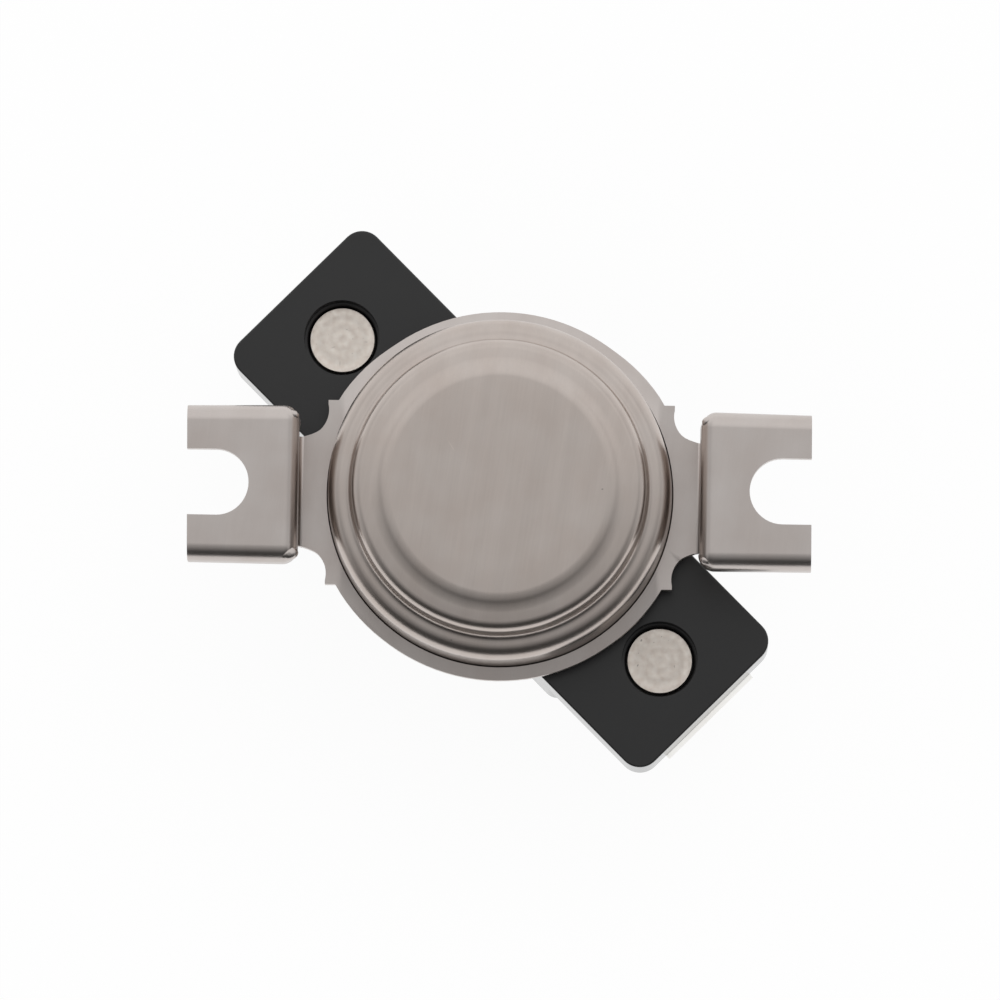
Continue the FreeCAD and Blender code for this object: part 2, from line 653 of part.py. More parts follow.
def make_contacts():
    """Fixed contact under the fixed strip and moving contact on the end of the spring arm."""
    face, tail = "sizes.contact_diameter / 2", "sizes.contact_tail / 2"
    shank = "sizes.contact_shank / 2"
    make_contact(
        "fixed_contact",
        (FIXED_FACE, face, "sizes.fixed_height"),
        (STRIP_FOOT, shank, "sizes.strip_sheet"),
        (END_BACK, tail, "sizes.contact_tail_height"),
    )
    make_contact(
        "moving_contact",
        (ARM_TOP, face, "sizes.moving_height"),
        (ARM_FOOT, shank, "sizes.arm_sheet"),
        (f"{ARM_FOOT} - sizes.contact_tail_height", tail, "sizes.contact_tail_height"),
    )


def make_arm():
    """Spring arm, bent down from its clamped root to run level under the pin and fixed contact."""
    root = new_body("arm_root", turned=True)
    plate = new_sketch(root, "root_outline", "XY_Plane", ROOT_FOOT)
    inner_end, half = "-(sizes.arm_bend + sizes.arm_slit)", "sizes.arm_width / 2"
    add_outline(plate, box_points("-sizes.root_end", inner_end, f"-{half}", half))
    pad(plate, "sizes.arm_sheet")
    hole = new_sketch(root, "root_hole", "XY_Plane", STRIP_FOOT)
    add_circle(hole, "-sizes.root_rivet", "0", CONTACT_HOLE)
    pocket(hole, "sizes.arm_sheet")
    arm = new_body("contact_arm", turned=True)
    profile = new_sketch(arm, "arm_profile", "XZ_Plane")
    add_outline(profile, [
        ("-sizes.arm_bend", ROOT_FOOT), ("-sizes.arm_level", ARM_FOOT), ("sizes.arm_tip", ARM_FOOT),
        ("sizes.arm_tip", ARM_TOP), ("-sizes.arm_level", ARM_TOP), ("-sizes.arm_bend", STRIP_FOOT),
    ])
    pad(profile, "sizes.arm_width", symmetric=True)
    seat = new_sketch(arm, "arm_contact_hole", "XY_Plane", ARM_TOP)
    add_circle(seat, "sizes.contact_reach", "0", CONTACT_HOLE)
    pocket(seat, "sizes.arm_sheet")
    rivet = new_body("arm_rivet", turned=True)
    tail = "sizes.contact_tail_height"
    stages = [
        ("foot", f"{ROOT_FOOT} - {tail}", "sizes.contact_tail / 2", tail),
        ("shank", ROOT_FOOT, "sizes.contact_shank / 2", f"{END_BACK} - {ROOT_FOOT}"),
        ("cap", END_BACK, "sizes.contact_tail / 2", tail),
    ]
    for stage, height, radius, length in stages:
        sketch = new_sketch(rivet, f"arm_rivet_{stage}", "XY_Plane", height)
        add_circle(sketch, "-sizes.root_rivet", "0", radius)
        pad(sketch, length)


def make_guide():
    """Pin guide: a stepped plug in the cap, with a boss for the pin and a rim for the disc."""
    body = new_body("pin_guide")
    profile = new_sketch(body, "guide_profile", "XZ_Plane")
    wall = f"({GUIDE_RADIUS} - sizes.guide_wall)"
    web_foot = f"({GUIDE_SHOULDER} - sizes.guide_web)"
    boss = "sizes.guide_boss / 2"
    boss_foot = f"({web_foot} - sizes.guide_boss_drop)"
    add_outline(profile, [
        (BORE_RADIUS, boss_foot), (boss, boss_foot), (boss, web_foot), (wall, web_foot),
        (wall, COLLAR_TOP), (GUIDE_RADIUS, COLLAR_TOP), (GUIDE_RADIUS, GUIDE_SHOULDER),
        (SEAT_RADIUS, GUIDE_SHOULDER), (SEAT_RADIUS, DISC_SEAT), (SEAT_RECESS, DISC_SEAT),
        (SEAT_RECESS, f"{DISC_SEAT} - sizes.seat_sink"),
        (BORE_RADIUS, f"{DISC_SEAT} - sizes.seat_sink"),
    ])
    revolve(profile)
    dress("Chamfer", body, "guide_edge", circle_at(GUIDE_RADIUS, GUIDE_SHOULDER), "sizes.guide_edge")


def make_pin():
    """Ceramic push pin with bevelled ends."""
    body = new_body("transfer_pin")
    outline = new_sketch(body, "pin_outline", "XY_Plane", PIN_FOOT)
    add_circle(outline, "0", "0", "sizes.pin_diameter / 2")
    pad(outline, f"{PIN_TOP} - {PIN_FOOT}")
    rim = circle_at("sizes.pin_diameter / 2", PIN_FOOT)
    top = circle_at("sizes.pin_diameter / 2", PIN_TOP)
    dress("Chamfer", body, "pin_ends", lambda edge: rim(edge) or top(edge), "sizes.pin_bevel")


def make_disc():
    """Bimetal disc: a shallow dish, bowed toward the sensing face while it is cool."""
    body = new_body("bimetal_disc")
    profile = new_sketch(body, "disc_profile", "XZ_Plane")
    crown = f"({DISC_SEAT} + sizes.disc_rise)"
    add_outline(profile, [
        ("0", crown), ("sizes.disc_flat / 2", crown), (DISC_RADIUS, DISC_SEAT),
        (DISC_RADIUS, f"{DISC_SEAT} + sizes.disc_sheet"),
        ("sizes.disc_flat / 2", f"{crown} + sizes.disc_sheet"), ("0", f"{crown} + sizes.disc_sheet"),
    ])
    revolve(profile)


def check_and_write():
    """Stop on any failed object or unsound solid, then write every sub-part."""
    doc.recompute()
    for item in doc.Objects:
        if "Invalid" in item.State or "Error" in item.State:
            raise RuntimeError(f"{item.Name} failed: {item.State}")
    for body in pieces:
        if body.Shape.isNull() or not body.Shape.isValid() or len(body.Shape.Solids) != 1:
            raise RuntimeError(f"{body.Label} is not one sound solid")
    os.makedirs("parts", exist_ok=True)
    for body in pieces:
        body.Shape.exportStep(f"parts/{body.Label}.step")
        box = body.Shape.BoundBox
        print(f"{body.Label}: {body.Shape.Volume:.2f} mm3, z {box.ZMin:.2f} to {box.ZMax:.2f}")


make_bracket()
make_cap()
make_base()
for letter, sign in (("a", "1"), ("b", "-1")):
    make_terminal(f"terminal_{letter}", sign)
    make_rivet(f"terminal_rivet_{letter}", sign)
make_strip("fixed_strip", "1", "sizes.fixed_strip_end", "sizes.contact_reach")
make_strip("arm_strip", "-1", "sizes.arm_strip_end", "sizes.root_rivet")
make_contacts()
make_arm()
make_guide()
make_pin()
make_disc()
check_and_write()
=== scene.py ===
"""Dresses a snap-disc bimetal thermostat: steel cap and bracket, black base, riveted blades.

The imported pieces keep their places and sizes. Every piece gets the finish that its real surface
has, the cap and the rivets are modelled anew with their rounded and hammered forms, and the
stamped and moulded pieces get the small edge roundings that blanking and moulding leave.
Lengths are in millimetres and angles in degrees, unless a comment says otherwise.
"""
import json
import logging
import math
from collections.abc import Callable, Iterator, Sequence
from contextlib import contextmanager
from dataclasses import dataclass
from enum import Enum
from typing import Any

import bmesh
import bpy
from mathutils import Matrix, Vector

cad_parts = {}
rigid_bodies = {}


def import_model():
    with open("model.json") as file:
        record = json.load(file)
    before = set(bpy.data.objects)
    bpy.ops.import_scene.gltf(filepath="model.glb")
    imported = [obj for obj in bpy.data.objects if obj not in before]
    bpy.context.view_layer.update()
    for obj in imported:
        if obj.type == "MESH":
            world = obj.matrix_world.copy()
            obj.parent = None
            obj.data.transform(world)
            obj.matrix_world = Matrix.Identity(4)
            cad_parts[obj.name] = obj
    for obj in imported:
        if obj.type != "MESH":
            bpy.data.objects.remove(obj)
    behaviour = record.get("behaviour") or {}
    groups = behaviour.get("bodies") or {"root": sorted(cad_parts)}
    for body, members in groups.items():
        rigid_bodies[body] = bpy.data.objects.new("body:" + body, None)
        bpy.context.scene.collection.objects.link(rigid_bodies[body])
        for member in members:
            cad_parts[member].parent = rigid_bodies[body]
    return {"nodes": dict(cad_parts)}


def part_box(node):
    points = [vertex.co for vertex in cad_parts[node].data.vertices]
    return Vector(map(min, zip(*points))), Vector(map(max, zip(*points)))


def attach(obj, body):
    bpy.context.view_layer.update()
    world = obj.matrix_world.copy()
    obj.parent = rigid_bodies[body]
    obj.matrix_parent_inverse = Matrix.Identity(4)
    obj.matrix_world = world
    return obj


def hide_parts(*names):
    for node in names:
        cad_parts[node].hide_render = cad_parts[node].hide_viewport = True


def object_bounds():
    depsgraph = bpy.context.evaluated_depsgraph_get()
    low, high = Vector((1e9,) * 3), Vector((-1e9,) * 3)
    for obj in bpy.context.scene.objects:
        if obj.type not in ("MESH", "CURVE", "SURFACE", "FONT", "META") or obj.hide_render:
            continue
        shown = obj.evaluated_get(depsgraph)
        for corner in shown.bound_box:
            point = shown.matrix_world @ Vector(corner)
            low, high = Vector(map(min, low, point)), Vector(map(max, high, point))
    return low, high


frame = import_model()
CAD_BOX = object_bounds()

log = logging.getLogger("thermostat")
MM = 0.001
# The base's turn from the X axis
BASE_TURN = -44.47
# Points within this distance of a level or a plane lie on it
NEAR = 0.01 * MM
# Most values of a noise lie in the first range, nearly all in the second, and most sums of two
# noises in the third
MOST = (0.3, 0.7)
NEARLY_ALL = (0.25, 0.75)
SUMS = (0.7, 1.3)
Pair = tuple[float, float]
Triple = tuple[float, float, float]
Socket = bpy.types.NodeSocket


def linear(colour: str) -> tuple[float, float, float, float]:
    """Turn an sRGB hex value into the linear colour that a shader reads.

    Args:
        colour: six hex digits after a hash sign.

    Returns:
        Red, green, blue and an alpha of one.
    """
    parts = [int(colour[start:start + 2], 16) / 255 for start in (1, 3, 5)]
    red, green, blue = [
        part / 12.92 if part <= 0.04045 else ((part + 0.055) / 1.055) ** 2.4 for part in parts
    ]
    return red, green, blue, 1.0


def held(value: float) -> float:
    """Return a value held between 0 and 1."""
    return min(1.0, max(0.0, value))


def about(middle: float, swing: float) -> Pair:
    """Return the range that lies a swing to both sides of a middle."""
    return middle - swing, middle + swing


def per_mm(*sizes: float) -> Triple:
    """Return the Mapping scale that gives a pattern features of these sizes."""
    spans = sizes * 3 if len(sizes) == 1 else sizes
    return tuple(1 / (span * MM) for span in spans)


class Graph:
    """The shader nodes of one material or of the world, added one by one."""

    def __init__(self, owner: bpy.types.Material | bpy.types.World) -> None:
        """Empty the node tree of a material or of the world.

        Args:
            owner: the material or the world.
        """
        owner.use_nodes = True
        self.tree = owner.node_tree
        self.tree.nodes.clear()

    def add(
        self, kind: str, *ordered: Any, named: dict[Any, Any] | None = None, out: int | str = 0,
        **settings: Any,
    ) -> Socket | None:
        """Add a shader node, set it up and link it.

        Args:
            kind: the node's type after "ShaderNode".
            *ordered: a plain value or another node's output for each of the first inputs.
            named: the same for other inputs, by name or number.
            out: the name or number of the output that is wanted.
            **settings: properties of the node.

        Returns:
            The wanted output, or nothing where the node has none.
        """
        node = self.tree.nodes.new(f"ShaderNode{kind}")
        for name, setting in settings.items():
            setattr(node, name, setting)
        for name, given in [*enumerate(ordered), *(named or {}).items()]:
            if isinstance(given, Socket):
                self.tree.links.new(given, node.inputs[name])
            else:
                node.inputs[name].default_value = given
        return node.outputs[out] if node.outputs else None

    def place(self, origin: Pair = (0.0, 0.0)) -> Socket:
        """Measure the Object coordinates from a point in the plan.

        Args:
            origin: the point.

        Returns:
            The coordinates.
        """
        middle = (origin[0] * MM, origin[1] * MM, 0)
        here = self.add("TexCoord", out="Object")
        return self.add("VectorMath", here, middle, operation="SUBTRACT")

    def graded(self, source: Socket, points: Sequence[Pair]) -> Socket:
        """Follow a line of straight runs through points, and hold its ends.

        Args:
            source: the value.
            points: a value and its level for each point, in order.

        Returns:
            The level.
        """
        level = points[0][1]
        for (start, low), (finish, high) in zip(points, points[1:]):
            run = self.add("MapRange", source, start, finish, 0.0, high - low)
            level = self.add("Math", level, run, operation="ADD")
        return level

    def noise(self, *spans: float, detail: float, turn: float = 0.0) -> Socket:
        """Add noise in Object coordinates with features of a real size.

        Args:
            *spans: the feature's size, one number or one for each axis.
            detail: the noise's octaves.
            turn: the pattern's turn about the upright axis.

        Returns:
            The noise's output, from 0 to 1.
        """
        here = self.add("TexCoord", out="Object")
        if turn:
            here = self.add("Mapping", here, named={"Rotation": (0, 0, math.radians(-turn))})
        scaled = self.add("Mapping", here, named={"Scale": per_mm(*spans)})
        return self.add("TexNoise", scaled, named={"Scale": 1.0, "Detail": detail}, out="Fac")

    def specks(self, size: float, detail: float, rare: Pair, depth: float) -> Socket:
        """Add specks where a noise comes near its highest values.

        Args:
            size: the noise's size.
            detail: the noise's octaves.
            rare: the range of the noise over which a speck rises.
            depth: the value in a speck's middle.

        Returns:
            The value, 0 between the specks.
        """
        return self.add("MapRange", self.noise(size, detail=detail), *rare, 0.0, depth)

    def surface(
        self, colours: tuple[str, str], share: Socket, rough: Socket, relief: Socket,
        height: float, others: dict[str, float], tint: Socket | None = None,
    ) -> Socket:
        """Add the shader of a surface in two colours.

        Args:
            colours: the two colours, as sRGB hex values.
            share: the second colour's share.
            rough: the roughness.
            relief: the relief, from 0 to 1.
            height: the relief's height.
            others: plain values of the shader's other inputs.
            tint: the value that darkens or lightens the colour.

        Returns:
            The shader's output.
        """
        shades = {0: share, 6: linear(colours[0]), 7: linear(colours[1])}
        colour = self.add("Mix", named=shades, out=2, data_type="RGBA")
        if tint:
            toned = {0: 1.0, 6: colour, 7: tint}
            colour = self.add("Mix", named=toned, out=2, data_type="RGBA", blend_type="MULTIPLY")
        uneven = {"Strength": 1.0, "Distance": height * MM, "Height": relief}
        normal = self.add("Bump", named=uneven)
        inputs = {"Base Color": colour, "Roughness": rough, "Normal": normal, **others}
        return self.add("BsdfPrincipled", named=inputs)


@dataclass(frozen=True)
class Mark:
    """A small dent, speck or scratch at a place on a surface.

    Attributes:
        place: its middle.
        half: its half length and half width.
        turn: its turn about the upright axis.
        strength: how strongly it shows, below zero for a dark one.
        core: the share of its half sizes over which it is full.
    """

    place: Pair
    half: Pair
    turn: float = 0.0
    strength: float = 0.5
    core: float = 0.4

    def deepen(self, graph: Graph, tint: Socket, origin: Pair = (0.0, 0.0)) -> Socket:
        """Add the mark to a tint.

        Args:
            graph: the nodes.
            tint: the tint.
            origin: the point that the mark's place is measured from.

        Returns:
            The tint with the mark.
        """
        here = graph.place((origin[0] + self.place[0], origin[1] + self.place[1]))
        turn = (0, 0, math.radians(-self.turn))
        turned = graph.add("Mapping", here, named={"Rotation": turn})
        along, across = [1 / (half * MM) for half in self.half]
        oval = graph.add("Mapping", turned, named={"Scale": (along, across, 0)})
        away = graph.add("VectorMath", oval, out="Value", operation="LENGTH")
        mask = graph.add("MapRange", away, self.core, 1.0, 1.0, 0.0)
        depth = graph.add("Math", mask, self.strength, operation="MULTIPLY")
        return graph.add("Math", tint, depth, operation="ADD")


class Finish:
    """A surface finish that makes one material, however many pieces wear it."""

    name: str

    def material(self) -> bpy.types.Material:
        """Return the finish's material, made on the first call."""
        made = bpy.data.materials.get(self.name)
        if not made:
            made = bpy.data.materials.new(self.name)
            graph = Graph(made)
            graph.add("OutputMaterial", self.shade(graph))
        return made

    def shade(self, graph: Graph) -> Socket:
        """Build the nodes in a material's graph and return the shader's output."""
        raise NotImplementedError


@dataclass(frozen=True)
class RolledMetal(Finish):
    """Cold-rolled metal sheet, whose mill grain and handling give fine streaks and soft clouds.

    Attributes:
        name: the material's name.
        colour: the sheet's own colour.
        cloud: the colour that it turns to in places, from oil and oxide.
        roughness: the roughness of the sheet, and how far the grain changes it.
        grain: the grain's width, length and height, coarser than the real one so that it shows.
        grain_turn: the grain's turn from the Y axis.
        streak: how far the grain lightens and darkens the sheet.
        cloud_size: the clouds' size.
        marks: dents and scratches.
        broad: the width and length of the broad streaks, as multiples of the grain's.
        grit: the size of the grit between the streaks, and its share of the relief.
    """

    name: str
    colour: str
    cloud: str
    roughness: Pair = (0.3, 0.03)
    grain: Triple = (0.09, 2.4, 0.0003)
    grain_turn: float = 0.0
    streak: float = 0.014
    cloud_size: float = 3.5
    marks: tuple[Mark, ...] = ()
    broad: Pair = (8.0, 6.0)
    grit: Pair = (0.12, 0.3)

    def shade(self, graph: Graph) -> Socket:
        """Build the nodes.

        Args:
            graph: the material's nodes.

        Returns:
            The shader's output.
        """
        width, length, height = self.grain
        wide, long = self.broad[0] * width, self.broad[1] * length
        grit_size, grit_share = self.grit
        streaks = graph.noise(width, length, width, detail=3.0, turn=self.grain_turn)
        bands = graph.noise(wide, long, wide, detail=2.0, turn=self.grain_turn)
        clouds = graph.noise(self.cloud_size, detail=3.0)
        grit = graph.noise(grit_size, detail=2.0)
        share = graph.add("MapRange", clouds, *MOST, 0.0, 1.0)
        fine = graph.add("MapRange", streaks, *NEARLY_ALL, *about(1.0, self.streak))
        broad = graph.add("MapRange", bands, *MOST, *about(0.0, self.streak))
        tint = graph.add("Math", fine, broad, operation="ADD")
        for mark in self.marks:
            tint = mark.deepen(graph, tint)
        worked = graph.add("Math", streaks, grit, operation="ADD")
        rough = graph.add("MapRange", worked, *SUMS, *about(*self.roughness))
        weak = graph.add("Math", grit, grit_share, operation="MULTIPLY")
        relief = graph.add("Math", streaks, weak, operation="ADD")
        colours = (self.colour, self.cloud)
        return graph.surface(colours, share, rough, relief, height, {"Metallic": 1.0}, tint)


@dataclass(frozen=True)
class HammeredMetal(Finish):
    """Plated steel that the setting tool has struck, which leaves rings, pits and a mottled face.

    Attributes:
        name: the material's name.
        colour: the plating's colour.
        worn: its colour where it is rubbed or soiled.
        centre: the rivet's axis.
        marks: specks and scratches, placed from the rivet's axis.
        ring_step: the distance between two tool rings.
        ring_tint: how dark and how light the rings make the face.
        wobble: the size over which the rings lose their round form, and how far, in radians.
        roughness: the roughness, and how far the mottling changes it.
        rim: the radii between which the face turns into its paler rim.
        rim_tint: the tint of the face and of its rim.
        relief: the height of the mottling.
        ring_relief: the rings' height as a share of the mottling's.
        mottle_size: the mottling's size.
        worn_range: the range of the mottling over which the plating looks worn.
        pit_tint: how far a pit darkens the face.
    """

    name: str
    colour: str
    worn: str
    centre: Pair
    marks: tuple[Mark, ...] = ()
    ring_step: float = 0.75
    ring_tint: Pair = (0.975, 1.02)
    wobble: Pair = (1.3, 9.0)
    roughness: Pair = (0.4, 0.05)
    rim: Pair = (1.62, 1.9)
    rim_tint: Pair = (0.96, 1.07)
    relief: float = 0.0018
    ring_relief: float = 0.3
    mottle_size: float = 0.45
    worn_range: Pair = (0.3, 0.75)
    pit_tint: float = 0.4

    def shade(self, graph: Graph) -> Socket:
        """Build the nodes.

        Args:
            graph: the material's nodes.

        Returns:
            The shader's output.
        """
        level = graph.add("Mapping", graph.place(self.centre), named={"Scale": (1, 1, 0)})
        away = graph.add("VectorMath", level, out="Value", operation="LENGTH")
        per_metre = 2 * math.pi / (self.ring_step * MM)
        turns = graph.add("Math", away, per_metre, operation="MULTIPLY")
        size, reach = self.wobble
        stray = graph.add("Math", graph.noise(size, detail=2.0), reach, operation="MULTIPLY")
        phase = graph.add("Math", turns, stray, operation="ADD")
        rings = graph.add("Math", phase, operation="SINE")
        mottle = graph.noise(self.mottle_size, detail=5.0)
        pits = graph.specks(size=0.2, detail=1.0, rare=(0.74, 0.8), depth=1.0)
        share = graph.add("MapRange", mottle, *self.worn_range, 0.0, 1.0)
        ringed = graph.add("MapRange", rings, -1.0, 1.0, *self.ring_tint)
        dark = graph.add("Math", pits, self.pit_tint, operation="MULTIPLY")
        tint = graph.add("Math", ringed, dark, operation="SUBTRACT")
        for mark in self.marks:
            tint = mark.deepen(graph, tint, self.centre)
        inner, outer = [radius * MM for radius in self.rim]
        rim = graph.add("MapRange", away, inner, outer, *self.rim_tint)
        tint = graph.add("Math", tint, rim, operation="MULTIPLY")
        ridges = graph.add("Math", rings, self.ring_relief, operation="MULTIPLY")
        struck = graph.add("Math", ridges, mottle, operation="ADD")
        relief = graph.add("Math", struck, pits, operation="SUBTRACT")
        rough = graph.add("MapRange", mottle, *MOST, *about(*self.roughness))
        colours = (self.colour, self.worn)
        return graph.surface(colours, share, rough, relief, self.relief, {"Metallic": 1.0}, tint)


@dataclass(frozen=True)
class MouldedThermoset(Finish):
    """Black phenolic moulding: a matt skin with fine filler grain, faint flow clouds and dust.

    Attributes:
        name: the material's name.
        colour: the moulding's colour.
        dust: the colour of the dust that lies on it.
        roughness: the roughness, and how far the clouds change it.
        wall_share: the roughness of the upright walls, which slide along the mould, as a share.
        wall_slopes: how far the normal points up at a wall, and where the skin is matt again.
        filler: the filler grain's size and height.
        flow: the flow clouds' size, and the dust colour's share in them.
        specular: the skin's shine.
    """

    name: str
    colour: str
    dust: str
    roughness: Pair = (0.34, 0.03)
    wall_share: float = 0.35
    wall_slopes: Pair = (0.1, 0.4)
    filler: Pair = (0.11, 0.0008)
    flow: Pair = (5.0, 0.08)
    specular: float = 0.58

    def shade(self, graph: Graph) -> Socket:
        """Build the nodes.

        Args:
            graph: the material's nodes.

        Returns:
            The shader's output.
        """
        grain_size, height = self.filler
        cloud_size, cloud_share = self.flow
        clouds = graph.noise(cloud_size, detail=3.0)
        flow = graph.add("MapRange", clouds, *MOST, 0.0, cloud_share)
        dust = graph.specks(size=0.2, detail=1.0, rare=(0.79, 0.83), depth=0.4)
        share = graph.add("Math", flow, dust, operation="ADD")
        skin = graph.add("MapRange", clouds, *MOST, *about(*self.roughness))
        upward = graph.add("SeparateXYZ", graph.add("TexCoord", out="Normal"), out="Z")
        slope = graph.add("Math", upward, operation="ABSOLUTE")
        wall = graph.add("MapRange", slope, *self.wall_slopes, self.wall_share, 1.0)
        rough = graph.add("Math", skin, wall, operation="MULTIPLY")
        grain = graph.noise(grain_size, detail=2.0)
        others = {"Metallic": 0.0, "IOR": 1.5, "Specular IOR Level": self.specular}
        return graph.surface((self.colour, self.dust), share, rough, grain, height, others)


@dataclass(frozen=True)
class UnglazedCeramic(Finish):
    """Pressed and fired steatite: a pale dry skin with fine grit and a few darker inclusions.

    Attributes:
        name: the material's name.
        colour: the ceramic's colour.
        stain: the colour of its inclusions.
        grit: the grit's size.
        relief: the grit's height.
        roughness: the roughness of its smooth and of its gritty parts.
        cloud: the clouds' size, and the stain colour's share in them.
    """

    name: str
    colour: str
    stain: str
    grit: float = 0.1
    relief: float = 0.012
    roughness: Pair = (0.62, 0.8)
    cloud: Pair = (2.5, 0.15)

    def shade(self, graph: Graph) -> Socket:
        """Build the nodes.

        Args:
            graph: the material's nodes.

        Returns:
            The shader's output.
        """
        cloud_size, cloud_share = self.cloud
        grit = graph.noise(self.grit, detail=3.0)
        clouds = graph.add(
            "MapRange", graph.noise(cloud_size, detail=2.0), *MOST, 0.0, cloud_share,
        )
        stains = graph.specks(size=0.25, detail=2.0, rare=(0.7, 0.76), depth=0.7)
        share = graph.add("Math", clouds, stains, operation="ADD")
        rough = graph.add("MapRange", grit, *MOST, *self.roughness)
        others = {"Metallic": 0.0, "IOR": 1.55}
        return graph.surface((self.colour, self.stain), share, rough, grit, self.relief, others)


def clear_selection() -> None:
    """Deselect every object."""
    for item in bpy.context.view_layer.objects:
        item.select_set(False)


def choose(piece: bpy.types.Object) -> None:
    """Make one object the only selected and the active one.

    Args:
        piece: the object.
    """
    clear_selection()
    piece.select_set(True)
    bpy.context.view_layer.objects.active = piece


@contextmanager
def editing(piece: bpy.types.Object) -> Iterator[None]:
    """Work on one object in edit mode, with all of it selected at first.

    Args:
        piece: the object.
    """
    choose(piece)
    bpy.ops.object.mode_set(mode="EDIT")
    bpy.ops.mesh.select_all(action="SELECT")
    yield
    bpy.ops.object.mode_set(mode="OBJECT")


def pick_edges(piece: bpy.types.Object, wanted: Callable[[Vector, Vector], bool]) -> None:
    """Select edges in edit mode by the places of their two ends.

    Args:
        piece: the object in edit mode.
        wanted: tells from an edge's two ends whether it is selected.
    """
    bpy.ops.mesh.select_all(action="DESELECT")
    bpy.ops.mesh.select_mode(type="EDGE")
    form = bmesh.from_edit_mesh(piece.data)
    for edge in form.edges:
        if wanted(edge.verts[0].co, edge.verts[1].co):
            edge.select_set(True)
    bmesh.update_edit_mesh(piece.data)


def apply_modifier(piece: bpy.types.Object, kind: str, **settings: Any) -> None:
    """Add a modifier to an object, set it and apply it.

    Args:
        piece: the object.
        kind: the modifier's type.
        **settings: its properties.
    """
    choose(piece)
    modifier = piece.modifiers.new(kind.title(), kind)
    for name, setting in settings.items():
        setattr(modifier, name, setting)
    bpy.ops.object.modifier_apply(modifier=modifier.name)


def dent(piece: bpy.types.Object, span: float, depth: float, level: float, way: str) -> None:
    """Make an object's surface uneven.

    Args:
        piece: the object.
        span: the size of a dent.
        depth: the depth of a dent.
        level: the share of the unevenness that goes inward.
        way: the direction in which the points move.
    """
    texture = bpy.data.textures.new(f"{piece.name}_dents", "CLOUDS")
    texture.noise_scale = span * MM
    apply_modifier(
        piece, "DISPLACE", texture=texture, texture_coords="LOCAL",
        strength=depth * MM, mid_level=level, direction=way,
    )


def smooth(piece: bpy.types.Object, angle: float) -> None:
    """Shade an object smooth, except over edges sharper than an angle."""
    choose(piece)
    bpy.ops.object.shade_smooth_by_angle(angle=math.radians(angle))


def dress(
    piece: bpy.types.Object, body: str, slot: str, finish: Finish, *nodes: str
) -> bpy.types.Object:
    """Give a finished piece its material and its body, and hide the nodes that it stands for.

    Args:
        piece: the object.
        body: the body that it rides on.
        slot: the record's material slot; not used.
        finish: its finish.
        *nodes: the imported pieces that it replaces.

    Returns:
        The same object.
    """
    piece.data.materials.clear()
    piece.data.materials.append(finish.material())
    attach(piece, body)
    if nodes:
        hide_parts(*nodes)
    log.info("%s: %d faces on %s", piece.name, len(piece.data.polygons), body)
    return piece


def finish_node(node: str, finish: Finish) -> None:
    """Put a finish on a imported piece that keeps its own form.

    Args:
        node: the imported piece.
        finish: its finish.
    """
    for place in frame["nodes"][node].material_slots:
        place.material = finish.material()
    log.info("%s: packed form, finished as %s", node, finish.name)


@dataclass
class TurnedForm:
    """A form that is raised ring by ring from a circle, as on a wheel.

    Attributes:
        name: the object's name.
        rings: radius and height of each ring, in order.
        centre: the axis.
        segments: the number of points round each ring.
        open_start: whether the first ring stays open.
        hollow: whether the last ring meets the first again, as in a tube.
        near: how close a point lies to a ring that it belongs to.
    """

    name: str
    rings: list[Pair]
    centre: Pair = (0.0, 0.0)
    segments: int = 72
    open_start: bool = False
    hollow: bool = False
    near: float = 0.004

    def build(self) -> bpy.types.Object:
        """Raise the form and return its object."""
        clear_selection()
        radius, height = self.rings[0]
        bpy.ops.mesh.primitive_circle_add(
            vertices=self.segments, radius=radius * MM,
            fill_type="NOTHING" if self.open_start or self.hollow else "NGON", location=(0, 0, 0),
        )
        piece = bpy.context.active_object
        piece.name = self.name
        piece.data.name = self.name
        across = (self.centre[0] * MM, self.centre[1] * MM)
        with editing(piece):
            bpy.ops.transform.translate(value=(*across, height * MM))
            for wider, higher in self.rings[1:]:
                rise = (0, 0, (higher - height) * MM)
                bpy.ops.mesh.extrude_region_move(TRANSFORM_OT_translate={"value": rise})
                share = wider / radius
                middle = (*across, higher * MM)
                bpy.ops.transform.resize(value=(share, share, 1), center_override=middle)
                radius, height = wider, higher
            if self.open_start:
                bpy.ops.mesh.edge_face_add()
            bpy.ops.mesh.select_all(action="SELECT")
            bpy.ops.mesh.remove_doubles(threshold=0.001 * MM)
            bpy.ops.mesh.normals_make_consistent(inside=False)
        return piece

    def round_ring(self, piece: bpy.types.Object, ring: Pair, size: float, steps: int) -> None:
        """Round the edge of one ring.

        Args:
            piece: the form's object.
            ring: the ring's radius and height.
            size: the distance from the edge at which the rounding starts.
            steps: the number of strips in the rounding.
        """
        radius, height = ring[0] * MM, ring[1] * MM
        near = self.near * MM
        axis = Vector(self.centre) * MM

        def on_ring(*ends: Vector) -> bool:
            """Tell whether all points lie on the ring."""
            return all(
                abs((end.xy - axis).length - radius) < near and abs(end.z - height) < near
                for end in ends
            )

        with editing(piece):
            pick_edges(piece, on_ring)
            bpy.ops.mesh.bevel(
                offset=size * MM, segments=steps, affect="EDGES", clamp_overlap=True,
            )


